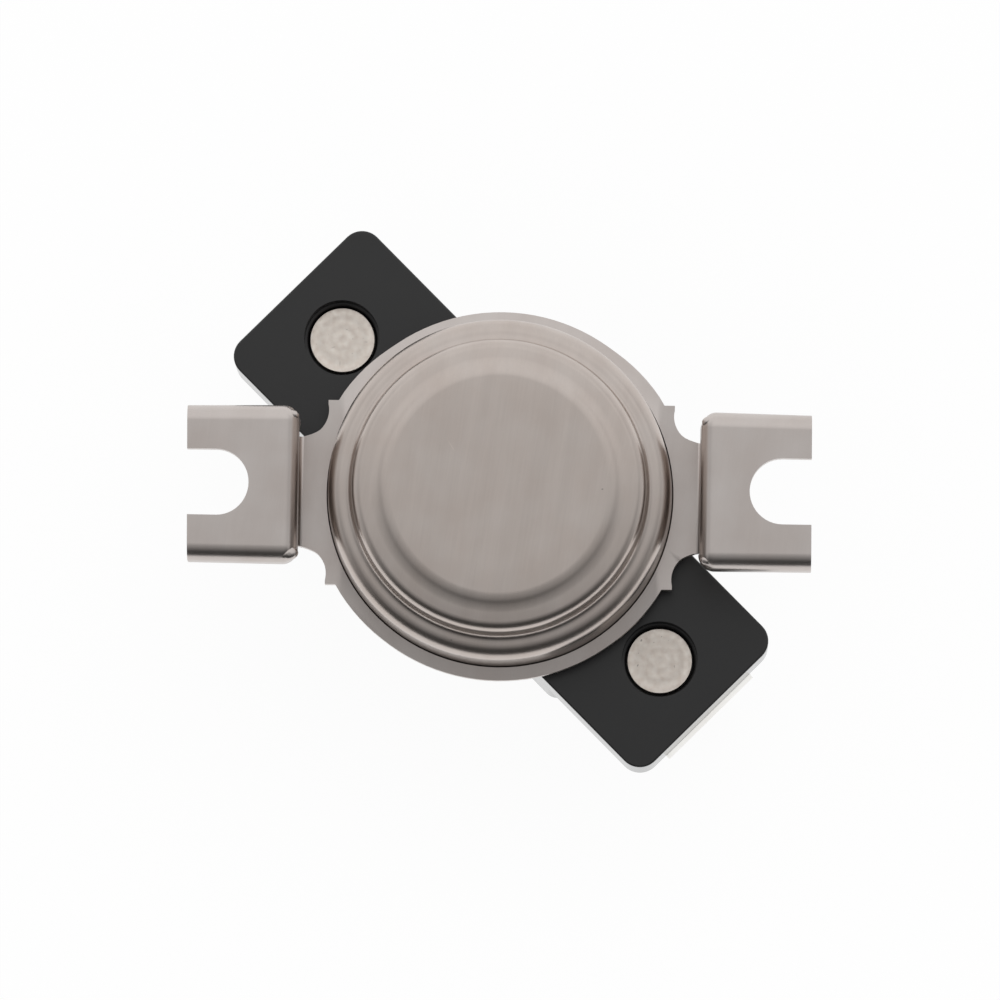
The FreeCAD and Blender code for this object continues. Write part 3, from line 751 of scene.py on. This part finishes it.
@dataclass
class SensingCap:
    """The drawn steel cap: a raised round face, two steps, a brim and a rolled skirt.

    Attributes:
        name: the object's name.
        sheet: the sheet's thickness.
        face_radius: the radius of the flat face.
        face_rings: radii of the rings that part the face.
        shoulder: radius of the face's shoulder and its depth below the face.
        upper_radii: radii of the upper step's edge and of its foot.
        lower_radii: radii of the lower step's edge and of its foot.
        upper_rise: the height between the two treads.
        lower_rise: the height between the lower tread and the brim.
        tread_drop: how far a tread falls toward its edge.
        skirt_radius: the skirt's radius.
        curl_radius: the radius to which the skirt's foot is rolled in.
        notch_width: the width of the two openings for the base.
        notch_top: the height up to which they reach.
        dents: size and depth of the unevenness that drawing leaves.
        roundings: name of each bend, and size and strips of its rounding.
        sharpest: the angle over which an edge counts as sharp.
    """

    name: str = "drawn_cap"
    sheet: float = 0.35
    face_radius: float = 7.6
    face_rings: Triple = (5.4, 3.2, 1.2)
    shoulder: Pair = (8.3, 0.3)
    upper_radii: Pair = (9.8, 9.975)
    lower_radii: Pair = (11.475, 11.65)
    upper_rise: float = 2.15
    lower_rise: float = 4.95
    tread_drop: float = 0.15
    skirt_radius: float = 12.25
    curl_radius: float = 10.8
    notch_width: float = 13.25
    notch_top: float = 17.6
    dents: Pair = (4.0, 0.012)
    roundings: tuple[tuple[str, float, int], ...] = (
        ("roll", 0.5, 5), ("brim", 0.28, 4), ("lower_foot", 0.25, 3), ("lower", 0.95, 12),
        ("upper_foot", 0.4, 6), ("upper", 0.62, 10), ("shoulder", 0.34, 6), ("face", 0.32, 6),
    )
    sharpest: float = 40.0

    def bends(self) -> dict[str, Pair]:
        """Return radius and height of each bend, from the rolled edge to the face."""
        foot, top = [corner.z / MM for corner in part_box("sensing_cap")]
        upper = top - self.shoulder[1]
        lower = upper - self.upper_rise
        brim = lower - self.lower_rise
        return {
            "curl": (self.curl_radius, foot),
            "roll": (self.skirt_radius, foot),
            "brim": (self.skirt_radius, brim),
            "lower_foot": (self.lower_radii[1], brim),
            "lower": (self.lower_radii[0], lower - self.tread_drop),
            "upper_foot": (self.upper_radii[1], lower),
            "upper": (self.upper_radii[0], upper - self.tread_drop),
            "shoulder": (self.shoulder[0], upper),
            "face": (self.face_radius, top),
        }

    def build(self, finish: Finish) -> bpy.types.Object:
        """Draw the cap, cut its notches for the base and dress it.

        Args:
            finish: the steel's finish.

        Returns:
            The cap's object.
        """
        bends = self.bends()
        rings = [*bends.values(), *((radius, bends["face"][1]) for radius in self.face_rings)]
        form = TurnedForm(self.name, rings, segments=192, open_start=True)
        cap = form.build()
        for name, size, steps in self.roundings:
            form.round_ring(cap, bends[name], size, steps)
        sheet = self.sheet * MM
        apply_modifier(cap, "SOLIDIFY", thickness=sheet, offset=-1.0, use_even_offset=True)
        dent(cap, *self.dents, 1.0, "Z")
        self.cut_notches(cap)
        smooth(cap, self.sharpest)
        return dress(cap, "housing", "cap_steel", finish, "sensing_cap")

    def cut_notches(self, cap: bpy.types.Object) -> None:
        """Cut the two openings of the skirt through which the base's ends pass.

        Args:
            cap: the cap's object.
        """
        clear_selection()
        overcut = 1
        height = self.notch_top - self.bends()["roll"][1] + overcut
        bpy.ops.mesh.primitive_cube_add(size=1)
        cutter = bpy.context.active_object
        cutter.scale = (3 * self.skirt_radius * MM, self.notch_width * MM, height * MM)
        cutter.rotation_euler = (0, 0, math.radians(BASE_TURN))
        cutter.location = (0, 0, (self.notch_top - height / 2) * MM)
        bpy.context.view_layer.update()
        apply_modifier(cap, "BOOLEAN", object=cutter, operation="DIFFERENCE", solver="EXACT")
        bpy.data.objects.remove(cutter)


@dataclass
class SolidRivet:
    """A solid rivet: a struck flat head, a shank and a tail that is formed on the terminal.

    Attributes:
        node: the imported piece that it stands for.
        name: the object's name.
        head_radius: the head's radius.
        head_height: the head's height.
        head_edge: width and height of the head's broken edge.
        head_rounding: size and strips of the rounding at its outer side.
        face: radius and depth of the rings that the tool left on the face, and its flat border.
        shank_radius: the shank's radius.
        tail_radius: the tail's radius.
        tail_height: the tail's height.
        tail_edge: the size of the tail's broken edge.
        tail_rings: radii of the rings that part the tail's foot.
        dents: size and depth of the hammer marks.
        sharpest: the angle over which an edge counts as sharp.
    """

    node: str
    name: str
    head_radius: float = 2.195
    head_height: float = 0.9
    head_edge: Pair = (0.025, 0.015)
    head_rounding: tuple[float, int] = (0.01, 2)
    face: tuple[Pair, ...] = (
        (1.795, 0.0), (1.45, 0.01), (1.1, 0.0), (0.75, 0.012), (0.4, 0.0), (0.12, 0.01),
    )
    shank_radius: float = 1.45
    tail_radius: float = 2.1
    tail_height: float = 0.7
    tail_edge: float = 0.35
    tail_rings: Pair = (0.4, 1.1)
    dents: Pair = (1.1, 0.01)
    sharpest: float = 25.0

    def centre(self) -> Pair:
        """Return the rivet's axis."""
        low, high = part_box(self.node)
        return (low.x + high.x) / 2 / MM, (low.y + high.y) / 2 / MM

    def build(self, finish: Finish) -> bpy.types.Object:
        """Raise the rivet from its tail to its head, strike it and dress it.

        Args:
            finish: the plating's finish.

        Returns:
            The rivet's object.
        """
        foot, top = [corner.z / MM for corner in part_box(self.node)]
        head, tail, shank = self.head_radius, self.tail_radius, self.shank_radius
        neck, throat = foot + self.tail_height, top - self.head_height
        rim = (head, top - self.head_edge[1])
        form = TurnedForm(self.name, [
            *((radius, foot) for radius in self.tail_rings),
            (tail - self.tail_edge, foot), (tail, foot + self.tail_edge), (tail, neck),
            (shank, neck), (shank, throat), (head, throat), rim, (head - self.head_edge[0], top),
            *((radius, top - depth) for radius, depth in self.face),
        ], self.centre())
        rivet = form.build()
        form.round_ring(rivet, rim, *self.head_rounding)
        apply_modifier(rivet, "SUBSURF", levels=1, render_levels=1, subdivision_type="SIMPLE")
        dent(rivet, *self.dents, 1.0, "NORMAL")
        smooth(rivet, self.sharpest)
        return dress(rivet, "housing", "rivet_steel", finish, self.node)


@dataclass
class RecessRing:
    """The moulded ring in a rivet's recess, whose upper side falls away softly to the rivet.

    Attributes:
        rivet: the rivet in the recess.
        name: the object's name.
        slope: each step's radius and its depth below the rivet's head, from the inside.
        depth: the depth of the ring's foot below the rivet's head.
        sharpest: the angle over which an edge counts as sharp.
    """

    rivet: SolidRivet
    name: str
    slope: tuple[Pair, ...] = ((2.25, 0.4), (2.3, 0.2), (2.37, 0.1), (2.46, 0.045), (2.555, 0.02))
    depth: float = 0.85
    sharpest: float = 40.0

    def build(self, finish: Finish) -> bpy.types.Object:
        """Raise the ring and dress it.

        Args:
            finish: the moulding's finish.

        Returns:
            The ring's object.
        """
        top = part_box(self.rivet.node)[1].z / MM
        inner, outer, foot = self.slope[0][0], self.slope[-1][0], top - self.depth
        upper = [(radius, top - depth) for radius, depth in self.slope]
        rings = [(inner, foot), *upper, (outer, foot), (inner, foot)]
        ring = TurnedForm(self.name, rings, self.rivet.centre(), hollow=True).build()
        smooth(ring, self.sharpest)
        return dress(ring, "housing", "base_moulding", finish)


@dataclass
class WorkedPiece:
    """A stamped or moulded piece, with the small edge rounding that its making leaves.

    Attributes:
        node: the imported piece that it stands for.
        name: its own name.
        slot: its material slot.
        edge: the rounding of its edges.
        body: the body that it rides on.
        steps: the number of strips in the rounding.
        sharpest: the angle over which an edge counts as sharp.
        flattest: the angle under which two faces count as one.
    """

    node: str
    name: str
    slot: str
    edge: float
    body: str = "housing"
    steps: int = 2
    sharpest: float = 34.0
    flattest: float = 0.6

    def build(self, finish: Finish) -> bpy.types.Object:
        """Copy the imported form, work it, round its edges and dress it.

        Args:
            finish: the piece's finish.

        Returns:
            The piece's object.
        """
        piece = bpy.data.objects.new(self.name, frame["nodes"][self.node].data.copy())
        piece.data.name = self.name
        bpy.context.scene.collection.objects.link(piece)
        with editing(piece):
            bpy.ops.mesh.remove_doubles(threshold=0.002 * MM)
            bpy.ops.mesh.customdata_custom_splitnormals_clear()
            bpy.ops.mesh.select_all(action="SELECT")
            bpy.ops.mesh.dissolve_limited(angle_limit=math.radians(self.flattest))
        with editing(piece):
            self.rework(piece)
        apply_modifier(
            piece, "BEVEL", width=self.edge * MM, segments=self.steps, limit_method="ANGLE",
            angle_limit=math.radians(self.sharpest), miter_outer="MITER_ARC", harden_normals=False,
        )
        smooth(piece, self.sharpest)
        apply_modifier(piece, "WEIGHTED_NORMAL", keep_sharp=True, weight=100)
        return dress(piece, self.body, self.slot, finish, self.node)

    def rework(self, piece: bpy.types.Object) -> None:
        """Leave the copied form as it is; a piece with a form of its own changes it here."""


@dataclass
class StampedBracket(WorkedPiece):
    """The stamped bracket, coined, folded and slanted a little as stamping leaves it.

    Of a pair of values, the first is for the front or the left and the second for the back or
    the right, unless the line says otherwise.

    Attributes:
        ring_level: the height of the ring's upper side.
        rim_radius: the radius beyond which the points belong to the rim.
        free_reach: the distance from the middle along X at which the necks begin.
        fade: the length over which the coining fades out before the necks.
        drop: how far the rim lies below the ring's inner edge.
        draw: how far the rim is drawn in.
        riser_reach: the distances along X between which a riser leans.
        riser_lean: how far a riser's foot is pushed outward and its top inward.
        riser_middle: the height above the ring at which a riser stays in its place.
        foot_fades: the lengths over which a foot's lean grows and dies out along X.
        top_fade: the length over which a top's lean dies out along X.
        lean_heights: the heights over which the leans of foot and top grow.
        ear_reach: the distances along X at which an ear begins and ends.
        ear_rise: the heights above the ring at which the ears begin to widen and are widest.
        spread: the share by which an ear's inner end is widened.
        ear_half: half an ear's width.
        slant: the slope of an ear's end.
    """

    ring_level: float = 19.5
    rim_radius: float = 12.4
    free_reach: float = 10.6
    fade: float = 3.0
    drop: float = 0.18
    draw: Pair = (0.08, 0.2)
    riser_reach: Pair = (12.3, 14.6)
    riser_lean: Pair = (0.2, 0.1)
    riser_middle: float = 2.6
    foot_fades: Pair = (0.5, 0.4)
    top_fade: float = 1.0
    lean_heights: Pair = (1.6, 1.2)
    ear_reach: Pair = (13.6, 20.0)
    ear_rise: Pair = (1.0, 3.0)
    spread: Pair = (0.008, 0.024)
    ear_half: float = 5.25
    slant: Pair = (0.019, 0.0095)

    def rework(self, piece: bpy.types.Object) -> None:
        """Part the ring from the necks, split its upper side and move the points.

        Args:
            piece: the bracket's object, in edit mode.
        """
        reach = self.free_reach * MM
        for side in (-reach, reach):
            bpy.ops.mesh.select_all(action="SELECT")
            bpy.ops.mesh.bisect(plane_co=(side, 0, 0), plane_no=(1, 0, 0))
        bpy.ops.mesh.select_all(action="DESELECT")
        bpy.ops.mesh.select_mode(type="FACE")
        form = bmesh.from_edit_mesh(piece.data)
        for face in form.faces:
            face.select_set(all(
                self.on_top(point.co) and abs(point.co.x) < reach + NEAR for point in face.verts
            ))
        bmesh.update_edit_mesh(piece.data)
        bpy.ops.mesh.quads_convert_to_tris(ngon_method="BEAUTY")
        for point in bmesh.from_edit_mesh(piece.data).verts:
            for move in (self.coin, self.lean, self.flare, self.skew):
                move(point.co)
        bmesh.update_edit_mesh(piece.data)

    def on_top(self, place: Vector) -> bool:
        """Tell whether a point lies on the ring's upper side."""
        return abs(place.z - self.ring_level * MM) < NEAR

    def coin(self, place: Vector) -> None:
        """Lower a point of the ring's rim and draw it in, less and less toward the necks.

        Args:
            place: the point, which is moved.
        """
        room = self.free_reach - abs(place.x) / MM
        radius = place.xy.length
        above = place.z > (self.ring_level + self.ear_rise[0]) * MM
        if room <= 0 or above or radius < self.rim_radius * MM:
            return
        share = min(1.0, room / self.fade)
        inward = 1 - share * self.draw[place.y > 0] * MM / radius
        place.x *= inward
        place.y *= inward
        if self.on_top(place):
            place.z -= self.drop * share * MM

    def lean(self, place: Vector) -> None:
        """Push a point of a riser's foot outward, or of its top toward the cap.

        Args:
            place: the point, which is moved.
        """
        away, rise = abs(place.x) / MM, place.z / MM - self.ring_level
        start, finish = self.riser_reach
        foot, top = self.riser_lean
        grow, end = self.foot_fades
        below, over = self.lean_heights
        low = held((away - start) / grow) * held((finish - away) / end)
        low *= held((self.riser_middle - rise) / below)
        high = held((finish - away) / self.top_fade) * held((rise - self.riser_middle) / over)
        if away > start:
            place.x += math.copysign((foot * low - top * high) * MM, place.x)

    def flare(self, place: Vector) -> None:
        """Widen an ear toward its inner end, where folding has spread the sheet.

        Args:
            place: the point, which is moved.
        """
        start, full = self.ear_rise
        height = held((place.z / MM - self.ring_level - start) / (full - start))
        inner, outer = self.ear_reach
        share = held((outer - abs(place.x) / MM) / (outer - inner))
        place.y *= 1 + height * share * self.spread[place.y > 0]

    def skew(self, place: Vector) -> None:
        """Slant an ear's end off square, without reaching past the sheet's own length.

        Args:
            place: the point, which is moved.
        """
        inner, outer = self.ear_reach
        share = held((abs(place.x) / MM - inner) / (outer - inner))
        half = math.copysign(self.ear_half * MM, place.x)
        place.x -= share * self.slant[place.x > 0] * (place.y + half)


@dataclass
class LeadStrip(WorkedPiece):
    """An inner strip, whose outer end was sheared off and slopes down where it stands out.

    Attributes:
        proud: how far its end stands out of the base.
        sheared: the share of the sheet's thickness over which its upper side slopes down.
    """

    proud: float = 0.3
    sheared: float = 0.8

    def rework(self, piece: bpy.types.Object) -> None:
        """Slope the upper side of the strip's outer end down.

        Args:
            piece: the strip's object, in edit mode.
        """
        turn = math.radians(BASE_TURN)
        outward = Vector((math.cos(turn), math.sin(turn), 0))
        ends = [point.co.dot(outward) for point in bmesh.from_edit_mesh(piece.data).verts]
        if max(ends) < -min(ends):
            outward = -outward
        reach = max(abs(end) for end in ends)
        proud = self.proud * MM
        start = reach - proud
        bpy.ops.mesh.bisect(plane_co=start * outward, plane_no=outward)
        points = bmesh.from_edit_mesh(piece.data).verts
        outer = [point for point in points if point.co.dot(outward) > start - NEAR]
        levels = [point.co.z for point in outer]
        foot, top = min(levels), max(levels)
        for point in outer:
            if point.co.z > (foot + top) / 2:
                share = held((point.co.dot(outward) - start) / proud)
                point.co.z -= share * self.sheared * (top - foot)
        bmesh.update_edit_mesh(piece.data)


class Corner(Enum):
    """The inner corners of the two ears, each as its directions along X and Y."""

    LEFT_FRONT = (-1, -1)
    LEFT_BACK = (-1, 1)
    RIGHT_FRONT = (1, -1)
    RIGHT_BACK = (1, 1)


@dataclass
class CornerPucker:
    """The dog-ear that the sheet throws where an ear's folded side meets its riser.

    Attributes:
        corner: which inner corner it lies at.
        share: its size as a share of the largest.
        half: half the largest's length, thickness and height.
        place: its middle's distance along X and Y from the part's axis, and its height.
        lean: how far its inner end turns toward the ear.
        crumple: size and depth of its crumples.
        sharpest: the angle over which an edge counts as sharp.
    """

    corner: Corner
    share: float
    half: Triple = (0.66, 0.46, 0.52)
    place: Triple = (14.0, 4.7, 23.84)
    lean: float = -12.0
    crumple: Pair = (0.45, 0.1)
    sharpest: float = 60.0

    def build(self, finish: Finish) -> bpy.types.Object:
        """Press the pucker from a ball, crumple it and dress it.

        Args:
            finish: the bracket's finish.

        Returns:
            The pucker's object.
        """
        along, across = self.corner.value
        origin = (0, 0, 0)
        clear_selection()
        bpy.ops.mesh.primitive_uv_sphere_add(
            segments=40, ring_count=24, radius=MM, location=origin,
        )
        piece = bpy.context.active_object
        piece.name = f"corner_pucker_{self.corner.name.lower()}"
        piece.data.name = piece.name
        x, y, z = self.place
        turn = math.radians(self.lean * along * across)
        with editing(piece):
            bpy.ops.transform.resize(value=[self.share * half for half in self.half])
            bpy.ops.transform.rotate(value=turn, orient_axis="Z", center_override=origin)
            bpy.ops.transform.translate(value=(along * x * MM, across * y * MM, z * MM))
        dent(piece, *self.crumple, 0.5, "NORMAL")
        smooth(piece, self.sharpest)
        return dress(piece, "housing", "bracket_steel", finish)


@dataclass(frozen=True)
class SoftBox:
    """A square lamp that hangs on a dome round the part.

    Attributes:
        name: its name.
        azimuth: its direction from the X axis.
        height: its angle above the table.
        distance: its distance from the part.
        size: its side.
        radiance: its brightness, where 1 is white.
    """

    name: str
    azimuth: float
    height: float
    distance: float
    size: float
    radiance: float

    def hang(self, target: Vector) -> None:
        """Hang the lamp so that it faces the part and no metal mirrors it.

        Args:
            target: the part's middle, in metres.
        """
        lamp = bpy.data.lights.new(self.name, "AREA")
        lamp.shape = "SQUARE"
        lamp.size = self.size * MM
        lamp.energy = self.radiance * math.pi * lamp.size ** 2
        box = bpy.data.objects.new(self.name, lamp)
        bpy.context.scene.collection.objects.link(box)
        turn, lift = math.radians(self.azimuth), math.radians(self.height)
        level = math.cos(lift)
        away = Vector((math.cos(turn) * level, math.sin(turn) * level, math.sin(lift)))
        facing = away.to_track_quat("Z", "Y").to_matrix().to_4x4()
        box.matrix_world = Matrix.Translation(target + self.distance * MM * away) @ facing
        box.visible_glossy = False


@dataclass
class Studio:
    """A white table under even light, with a graded panel overhead that the metal mirrors.

    The levels of the panel and of the room are shares of white. The panel's places are shares of
    its half width; the room's are how far a direction points to the back.

    Attributes:
        target: the point that the camera looks at.
        distance: the camera's distance from it.
        tilt: the camera's angle off upright.
        azimuth: the direction to which it stands off, from the front.
        roll: its roll.
        focal_pixels: its focal length in pixels.
        image_pixels: the picture's width in pixels.
        sensor: its sensor's width.
        sight: the nearest and the farthest distance that it sees.
        floor_size: the table's side.
        floor_colour: the table's colour.
        floor_glow: the share of pure white in the table, as the eye and metal see it.
        white: pure white.
        sky: the light of the open sky.
        panel_height: the panel's height above the target.
        panel_half: half the panel's side.
        panel_levels: place and level from the panel's front to its back.
        panel_sides: place and level from the panel's middle to both sides.
        room_levels: direction and level from the room's front to its back.
        soft_boxes: the lamps.
    """

    target: Triple = (0.017, -0.411, 20.0)
    distance: float = 672.4
    tilt: float = 6.492
    azimuth: float = 9.191
    roll: float = -8.15
    focal_pixels: float = 9974.1
    image_pixels: int = 1000
    sensor: float = 36.0
    sight: Pair = (20.0, 20000.0)
    floor_size: float = 4000.0
    floor_colour: str = "#FAFAFA"
    floor_glow: float = 0.93
    white: str = "#FFFFFF"
    sky: float = 0.8
    panel_height: float = 300.0
    panel_half: float = 420.0
    panel_levels: tuple[Pair, ...] = ((-0.8, 0.03), (-0.12, 0.41), (0.1, 0.725), (0.36, 0.93))
    panel_sides: tuple[Pair, ...] = ((0.5, 1.0), (0.95, 0.6))
    room_levels: tuple[Pair, ...] = ((-0.6, 0.035), (-0.1, 0.6), (0.2, 0.68), (0.7, 0.92))
    soft_boxes: tuple[SoftBox, ...] = (
        SoftBox("soft_box_back", 68, 62, 420, 260, 1.5),
        SoftBox("soft_box_front", 250, 74, 420, 200, 0.5),
    )

    def build(self) -> None:
        """Set up the camera, the table, the sky, the lamps and the panel."""
        middle = Vector(self.target) * MM
        self.place_camera(middle)
        self.lay_floor()
        self.light_sky()
        for box in self.soft_boxes:
            box.hang(middle)
        self.hang_panel(middle)
        bpy.context.scene.view_settings.view_transform = "Standard"
        log.info("studio: camera, table, sky, lamps and panel")

    def place_camera(self, middle: Vector) -> None:
        """Place the camera as the photograph's, with the whole part in view from above.

        Args:
            middle: the point that it looks at, in metres.
        """
        tilt, turn, roll = [math.radians(angle) for angle in (self.tilt, self.azimuth, self.roll)]
        aside = math.sin(tilt)
        back = Vector((aside * math.sin(turn), -aside * math.cos(turn), math.cos(tilt)))
        across = Vector((math.cos(turn), math.sin(turn), 0))
        upward = across.cross(-back)
        right = math.cos(roll) * across + math.sin(roll) * upward
        above = -math.sin(roll) * across + math.cos(roll) * upward
        lens = bpy.data.cameras.new("camera")
        lens.sensor_width = self.sensor
        lens.lens = self.focal_pixels * self.sensor / self.image_pixels
        lens.clip_start, lens.clip_end = [distance * MM for distance in self.sight]
        camera = bpy.data.objects.new("camera", lens)
        bpy.context.scene.collection.objects.link(camera)
        rows = Matrix((right, above, back)).transposed().to_4x4()
        camera.matrix_world = Matrix.Translation(middle + self.distance * MM * back) @ rows
        bpy.context.scene.camera = camera

    def add_plane(
        self, name: str, cover: str, size: float, middle: Sequence[float]
    ) -> tuple[bpy.types.Object, Graph]:
        """Add a level plane of the studio.

        Args:
            name: its name.
            cover: the name of its material.
            size: its side.
            middle: its middle, in metres.

        Returns:
            The plane and the nodes of its material.
        """
        clear_selection()
        bpy.ops.mesh.primitive_plane_add(size=size * MM, location=middle)
        plane = bpy.context.active_object
        plane.name = name
        material = bpy.data.materials.new(cover)
        plane.data.materials.append(material)
        return plane, Graph(material)

    def lay_floor(self) -> None:
        """Lay the white table that the part stands on."""
        middle = (0, 0, CAD_BOX[0].z)
        _, graph = self.add_plane("table", "table_paper", self.floor_size, middle)
        matt = graph.add("BsdfDiffuse", linear(self.floor_colour))
        glow = graph.add("Emission", linear(self.white), 1.0)
        seen = graph.add("Math", self.seen(graph), self.floor_glow, operation="MULTIPLY")
        graph.add("OutputMaterial", graph.add("MixShader", seen, matt, glow))

    def seen(self, graph: Graph) -> Socket:
        """Tell the rays of camera, gloss and transmission from the rest.

        Args:
            graph: the nodes.

        Returns:
            1 for these rays, and 0 for the rest.
        """
        rays = graph.add("LightPath").node.outputs
        most = rays["Is Camera Ray"]
        for name in ("Is Glossy Ray", "Is Transmission Ray"):
            most = graph.add("Math", most, rays[name], operation="MAXIMUM")
        return most

    def light_sky(self) -> None:
        """Make the sky white to the eye, a graded room in metal and an even light otherwise."""
        world = bpy.data.worlds.new("studio_white")
        graph = Graph(world)
        toward = graph.add("SeparateXYZ", graph.add("TexCoord", out="Generated"), out="Y")
        glossy = graph.add("LightPath", out="Is Glossy Ray")
        level = graph.graded(toward, self.room_levels)
        room = graph.add("Math", level, glossy, operation="MULTIPLY")
        plain = graph.add("MapRange", self.seen(graph), 0.0, 1.0, self.sky, 1.0)
        other = graph.add("Math", 1.0, glossy, operation="SUBTRACT")
        open_sky = graph.add("Math", plain, other, operation="MULTIPLY")
        strength = graph.add("Math", room, open_sky, operation="ADD")
        graph.add("OutputWorld", graph.add("Background", linear(self.white), strength))
        bpy.context.scene.world = world

    def hang_panel(self, middle: Vector) -> None:
        """Hang the graded panel, which only polished surfaces see.

        Args:
            middle: the part's middle, in metres.
        """
        overhead = middle + Vector((0, 0, self.panel_height * MM))
        panel, graph = self.add_plane("graded_panel", "panel_cloth", 2 * self.panel_half, overhead)
        here = graph.add("TexCoord", out="Object")
        cloth = graph.add("Mapping", here, named={"Scale": per_mm(self.panel_half)})
        parts = graph.add("SeparateXYZ", cloth).node.outputs
        aside = graph.add("Math", parts["X"], operation="ABSOLUTE")
        sides = graph.graded(aside, self.panel_sides)
        rows = graph.graded(parts["Y"], self.panel_levels)
        level = graph.add("Math", rows, sides, operation="MULTIPLY")
        graph.add("OutputMaterial", graph.add("Emission", linear(self.white), level))
        panel.visible_camera = False
        panel.visible_diffuse = False
        panel.visible_shadow = False
        panel.visible_transmission = False


# Drawn stainless steel: satin, warm grey, with faint upright grain and handling marks
CAP_STEEL = RolledMetal(
    "satin_drawn_stainless", "#C6BDB7", "#C1B6AF", (0.295, 0.012), (0.11, 3.0, 0.0004),
    -8.0, 0.024, 3.2, (
        Mark((-3.2, 2.5), (0.55, 0.05), -58.0, 0.1),
        Mark((6.95, -0.25), (0.09, 0.07), 20.0, -0.4),
        Mark((-3.0, -10.3), (0.08, 0.06), 0.0, -0.4),
    ),
)
# Stamped stainless strip: a little cooler and duller than the cap
BRACKET_STEEL = RolledMetal(
    "stamped_stainless_strip", "#CCC5C1", "#C4BBB6", (0.31, 0.02), (0.1, 2.0, 0.0004),
    -8.0, 0.014, 4.0,
)
# Tinned brass blade: bright and pale
TINNED_BLADE = RolledMetal(
    "tinned_blade", "#E4E2DD", "#DBD8D2", (0.31, 0.02), (0.08, 1.6, 0.0004), 45.5, 0.02, 3.0,
)
# Tinned brass strip, of which only the outer edges show; its colour is painted much paler than the
# blade's same tinned brass, a painted highlight standing in for the white table that its edges
# mirror
TINNED_STRIP_PAINTED_HIGHLIGHT = RolledMetal(
    "tinned_strip_painted_highlight", "#F6F5F2", "#EFEDE9", (0.31, 0.02), (0.08, 1.6, 0.0004), 45.5, 0.015, 3.0,
)
# Silver contact, coined and slightly tarnished
SILVER = RolledMetal(
    "coined_silver", "#EFEDE6", "#DAD4C6", (0.32, 0.04), (0.08, 0.3, 0.0006), 0.0, 0.02, 1.0,
)
# Rolled phosphor bronze spring strip
BRONZE = RolledMetal(
    "spring_bronze", "#CC9A6C", "#BF8D60", (0.32, 0.04), (0.07, 2.0, 0.0005), 45.5, 0.025, 2.0,
)
# Bimetal sheet: nickel steel with a faint straw tint from its heat treatment
BIMETAL = RolledMetal(
    "rolled_bimetal", "#B7AEA3", "#AC9F82", (0.34, 0.04), (0.08, 2.5, 0.0005), 0.0, 0.02, 3.0,
)
PHENOLIC = MouldedThermoset("black_phenolic_moulding", "#0F0F10", "#343331")
GUIDE_STEATITE = UnglazedCeramic("fired_steatite", "#D8D0C0", "#8C8272")
PIN_STEATITE = UnglazedCeramic("ground_steatite_pin", "#E3DED3", "#A89D8B", 0.08)
LEFT_RIVET_MARKS = (
    Mark((-0.62, -0.5), (0.2, 0.06), 20.0, -0.16),
    Mark((1.6, -0.1), (0.16, 0.04), 0.0, -0.2),
    Mark((-0.14, -1.6), (0.22, 0.045), 90.0, -0.18),
    Mark((0.35, 0.7), (0.3, 0.05), -25.0, -0.1),
)
RIGHT_RIVET_MARKS = (
    Mark((-1.27, 1.38), (0.11, 0.06), 70.0, -0.6),
    Mark((-1.48, -0.32), (0.11, 0.05), 60.0, -0.5),
    Mark((1.0, -0.35), (0.13, 0.05), 100.0, -0.25),
)
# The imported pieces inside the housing, which keep their own forms
INNER_FINISHES = {
    "fixed_contact": SILVER, "moving_contact": SILVER, "arm_root": BRONZE, "contact_arm": BRONZE,
    "arm_rivet": TINNED_STRIP_PAINTED_HIGHLIGHT, "pin_guide": GUIDE_STEATITE, "transfer_pin": PIN_STEATITE,
    "bimetal_disc": BIMETAL,
}


def struck_plating(rivet: SolidRivet) -> HammeredMetal:
    """Match the plated, struck finish to a rivet.

    Args:
        rivet: the rivet.

    Returns:
        The finish, whose rings lie round the rivet's axis.
    """
    centre = rivet.centre()
    marks = LEFT_RIVET_MARKS if centre[0] < 0 else RIGHT_RIVET_MARKS
    return HammeredMetal(f"struck_plated_{rivet.name}", "#F3EBE2", "#E8DCD1", centre, marks)


def main() -> None:
    """Build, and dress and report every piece."""
    Studio().build()
    SensingCap().build(CAP_STEEL)
    bracket = StampedBracket("mounting_bracket", "stamped_bracket", "bracket_steel", edge=0.06)
    bracket.build(BRACKET_STEEL)
    for corner in Corner:
        CornerPucker(corner, 1.0 if corner is Corner.LEFT_FRONT else 0.72).build(BRACKET_STEEL)
    WorkedPiece("switch_base", "moulded_base", "base_moulding", edge=0.05).build(PHENOLIC)
    for letter in "ab":
        rivet = SolidRivet(f"terminal_rivet_{letter}", f"struck_rivet_{letter}")
        rivet.build(struck_plating(rivet))
        RecessRing(rivet, f"recess_ring_{letter}").build(PHENOLIC)
        blade = WorkedPiece(f"terminal_{letter}", f"blade_{letter}", "terminal_plate", edge=0.05)
        blade.build(TINNED_BLADE)
    # The lead strips wear the tinned brass painted paler than the blade's, a painted highlight
    for node, name in (("fixed_strip", "lead_strip_a"), ("arm_strip", "lead_strip_b")):
        LeadStrip(node, name, "strip_brass", edge=0.04).build(TINNED_STRIP_PAINTED_HIGHLIGHT)
    for node, finish in INNER_FINISHES.items():
        finish_node(node, finish)


if __name__ == "__main__":
    logging.basicConfig(level=logging.INFO, format="%(name)s: %(message)s")
    main()
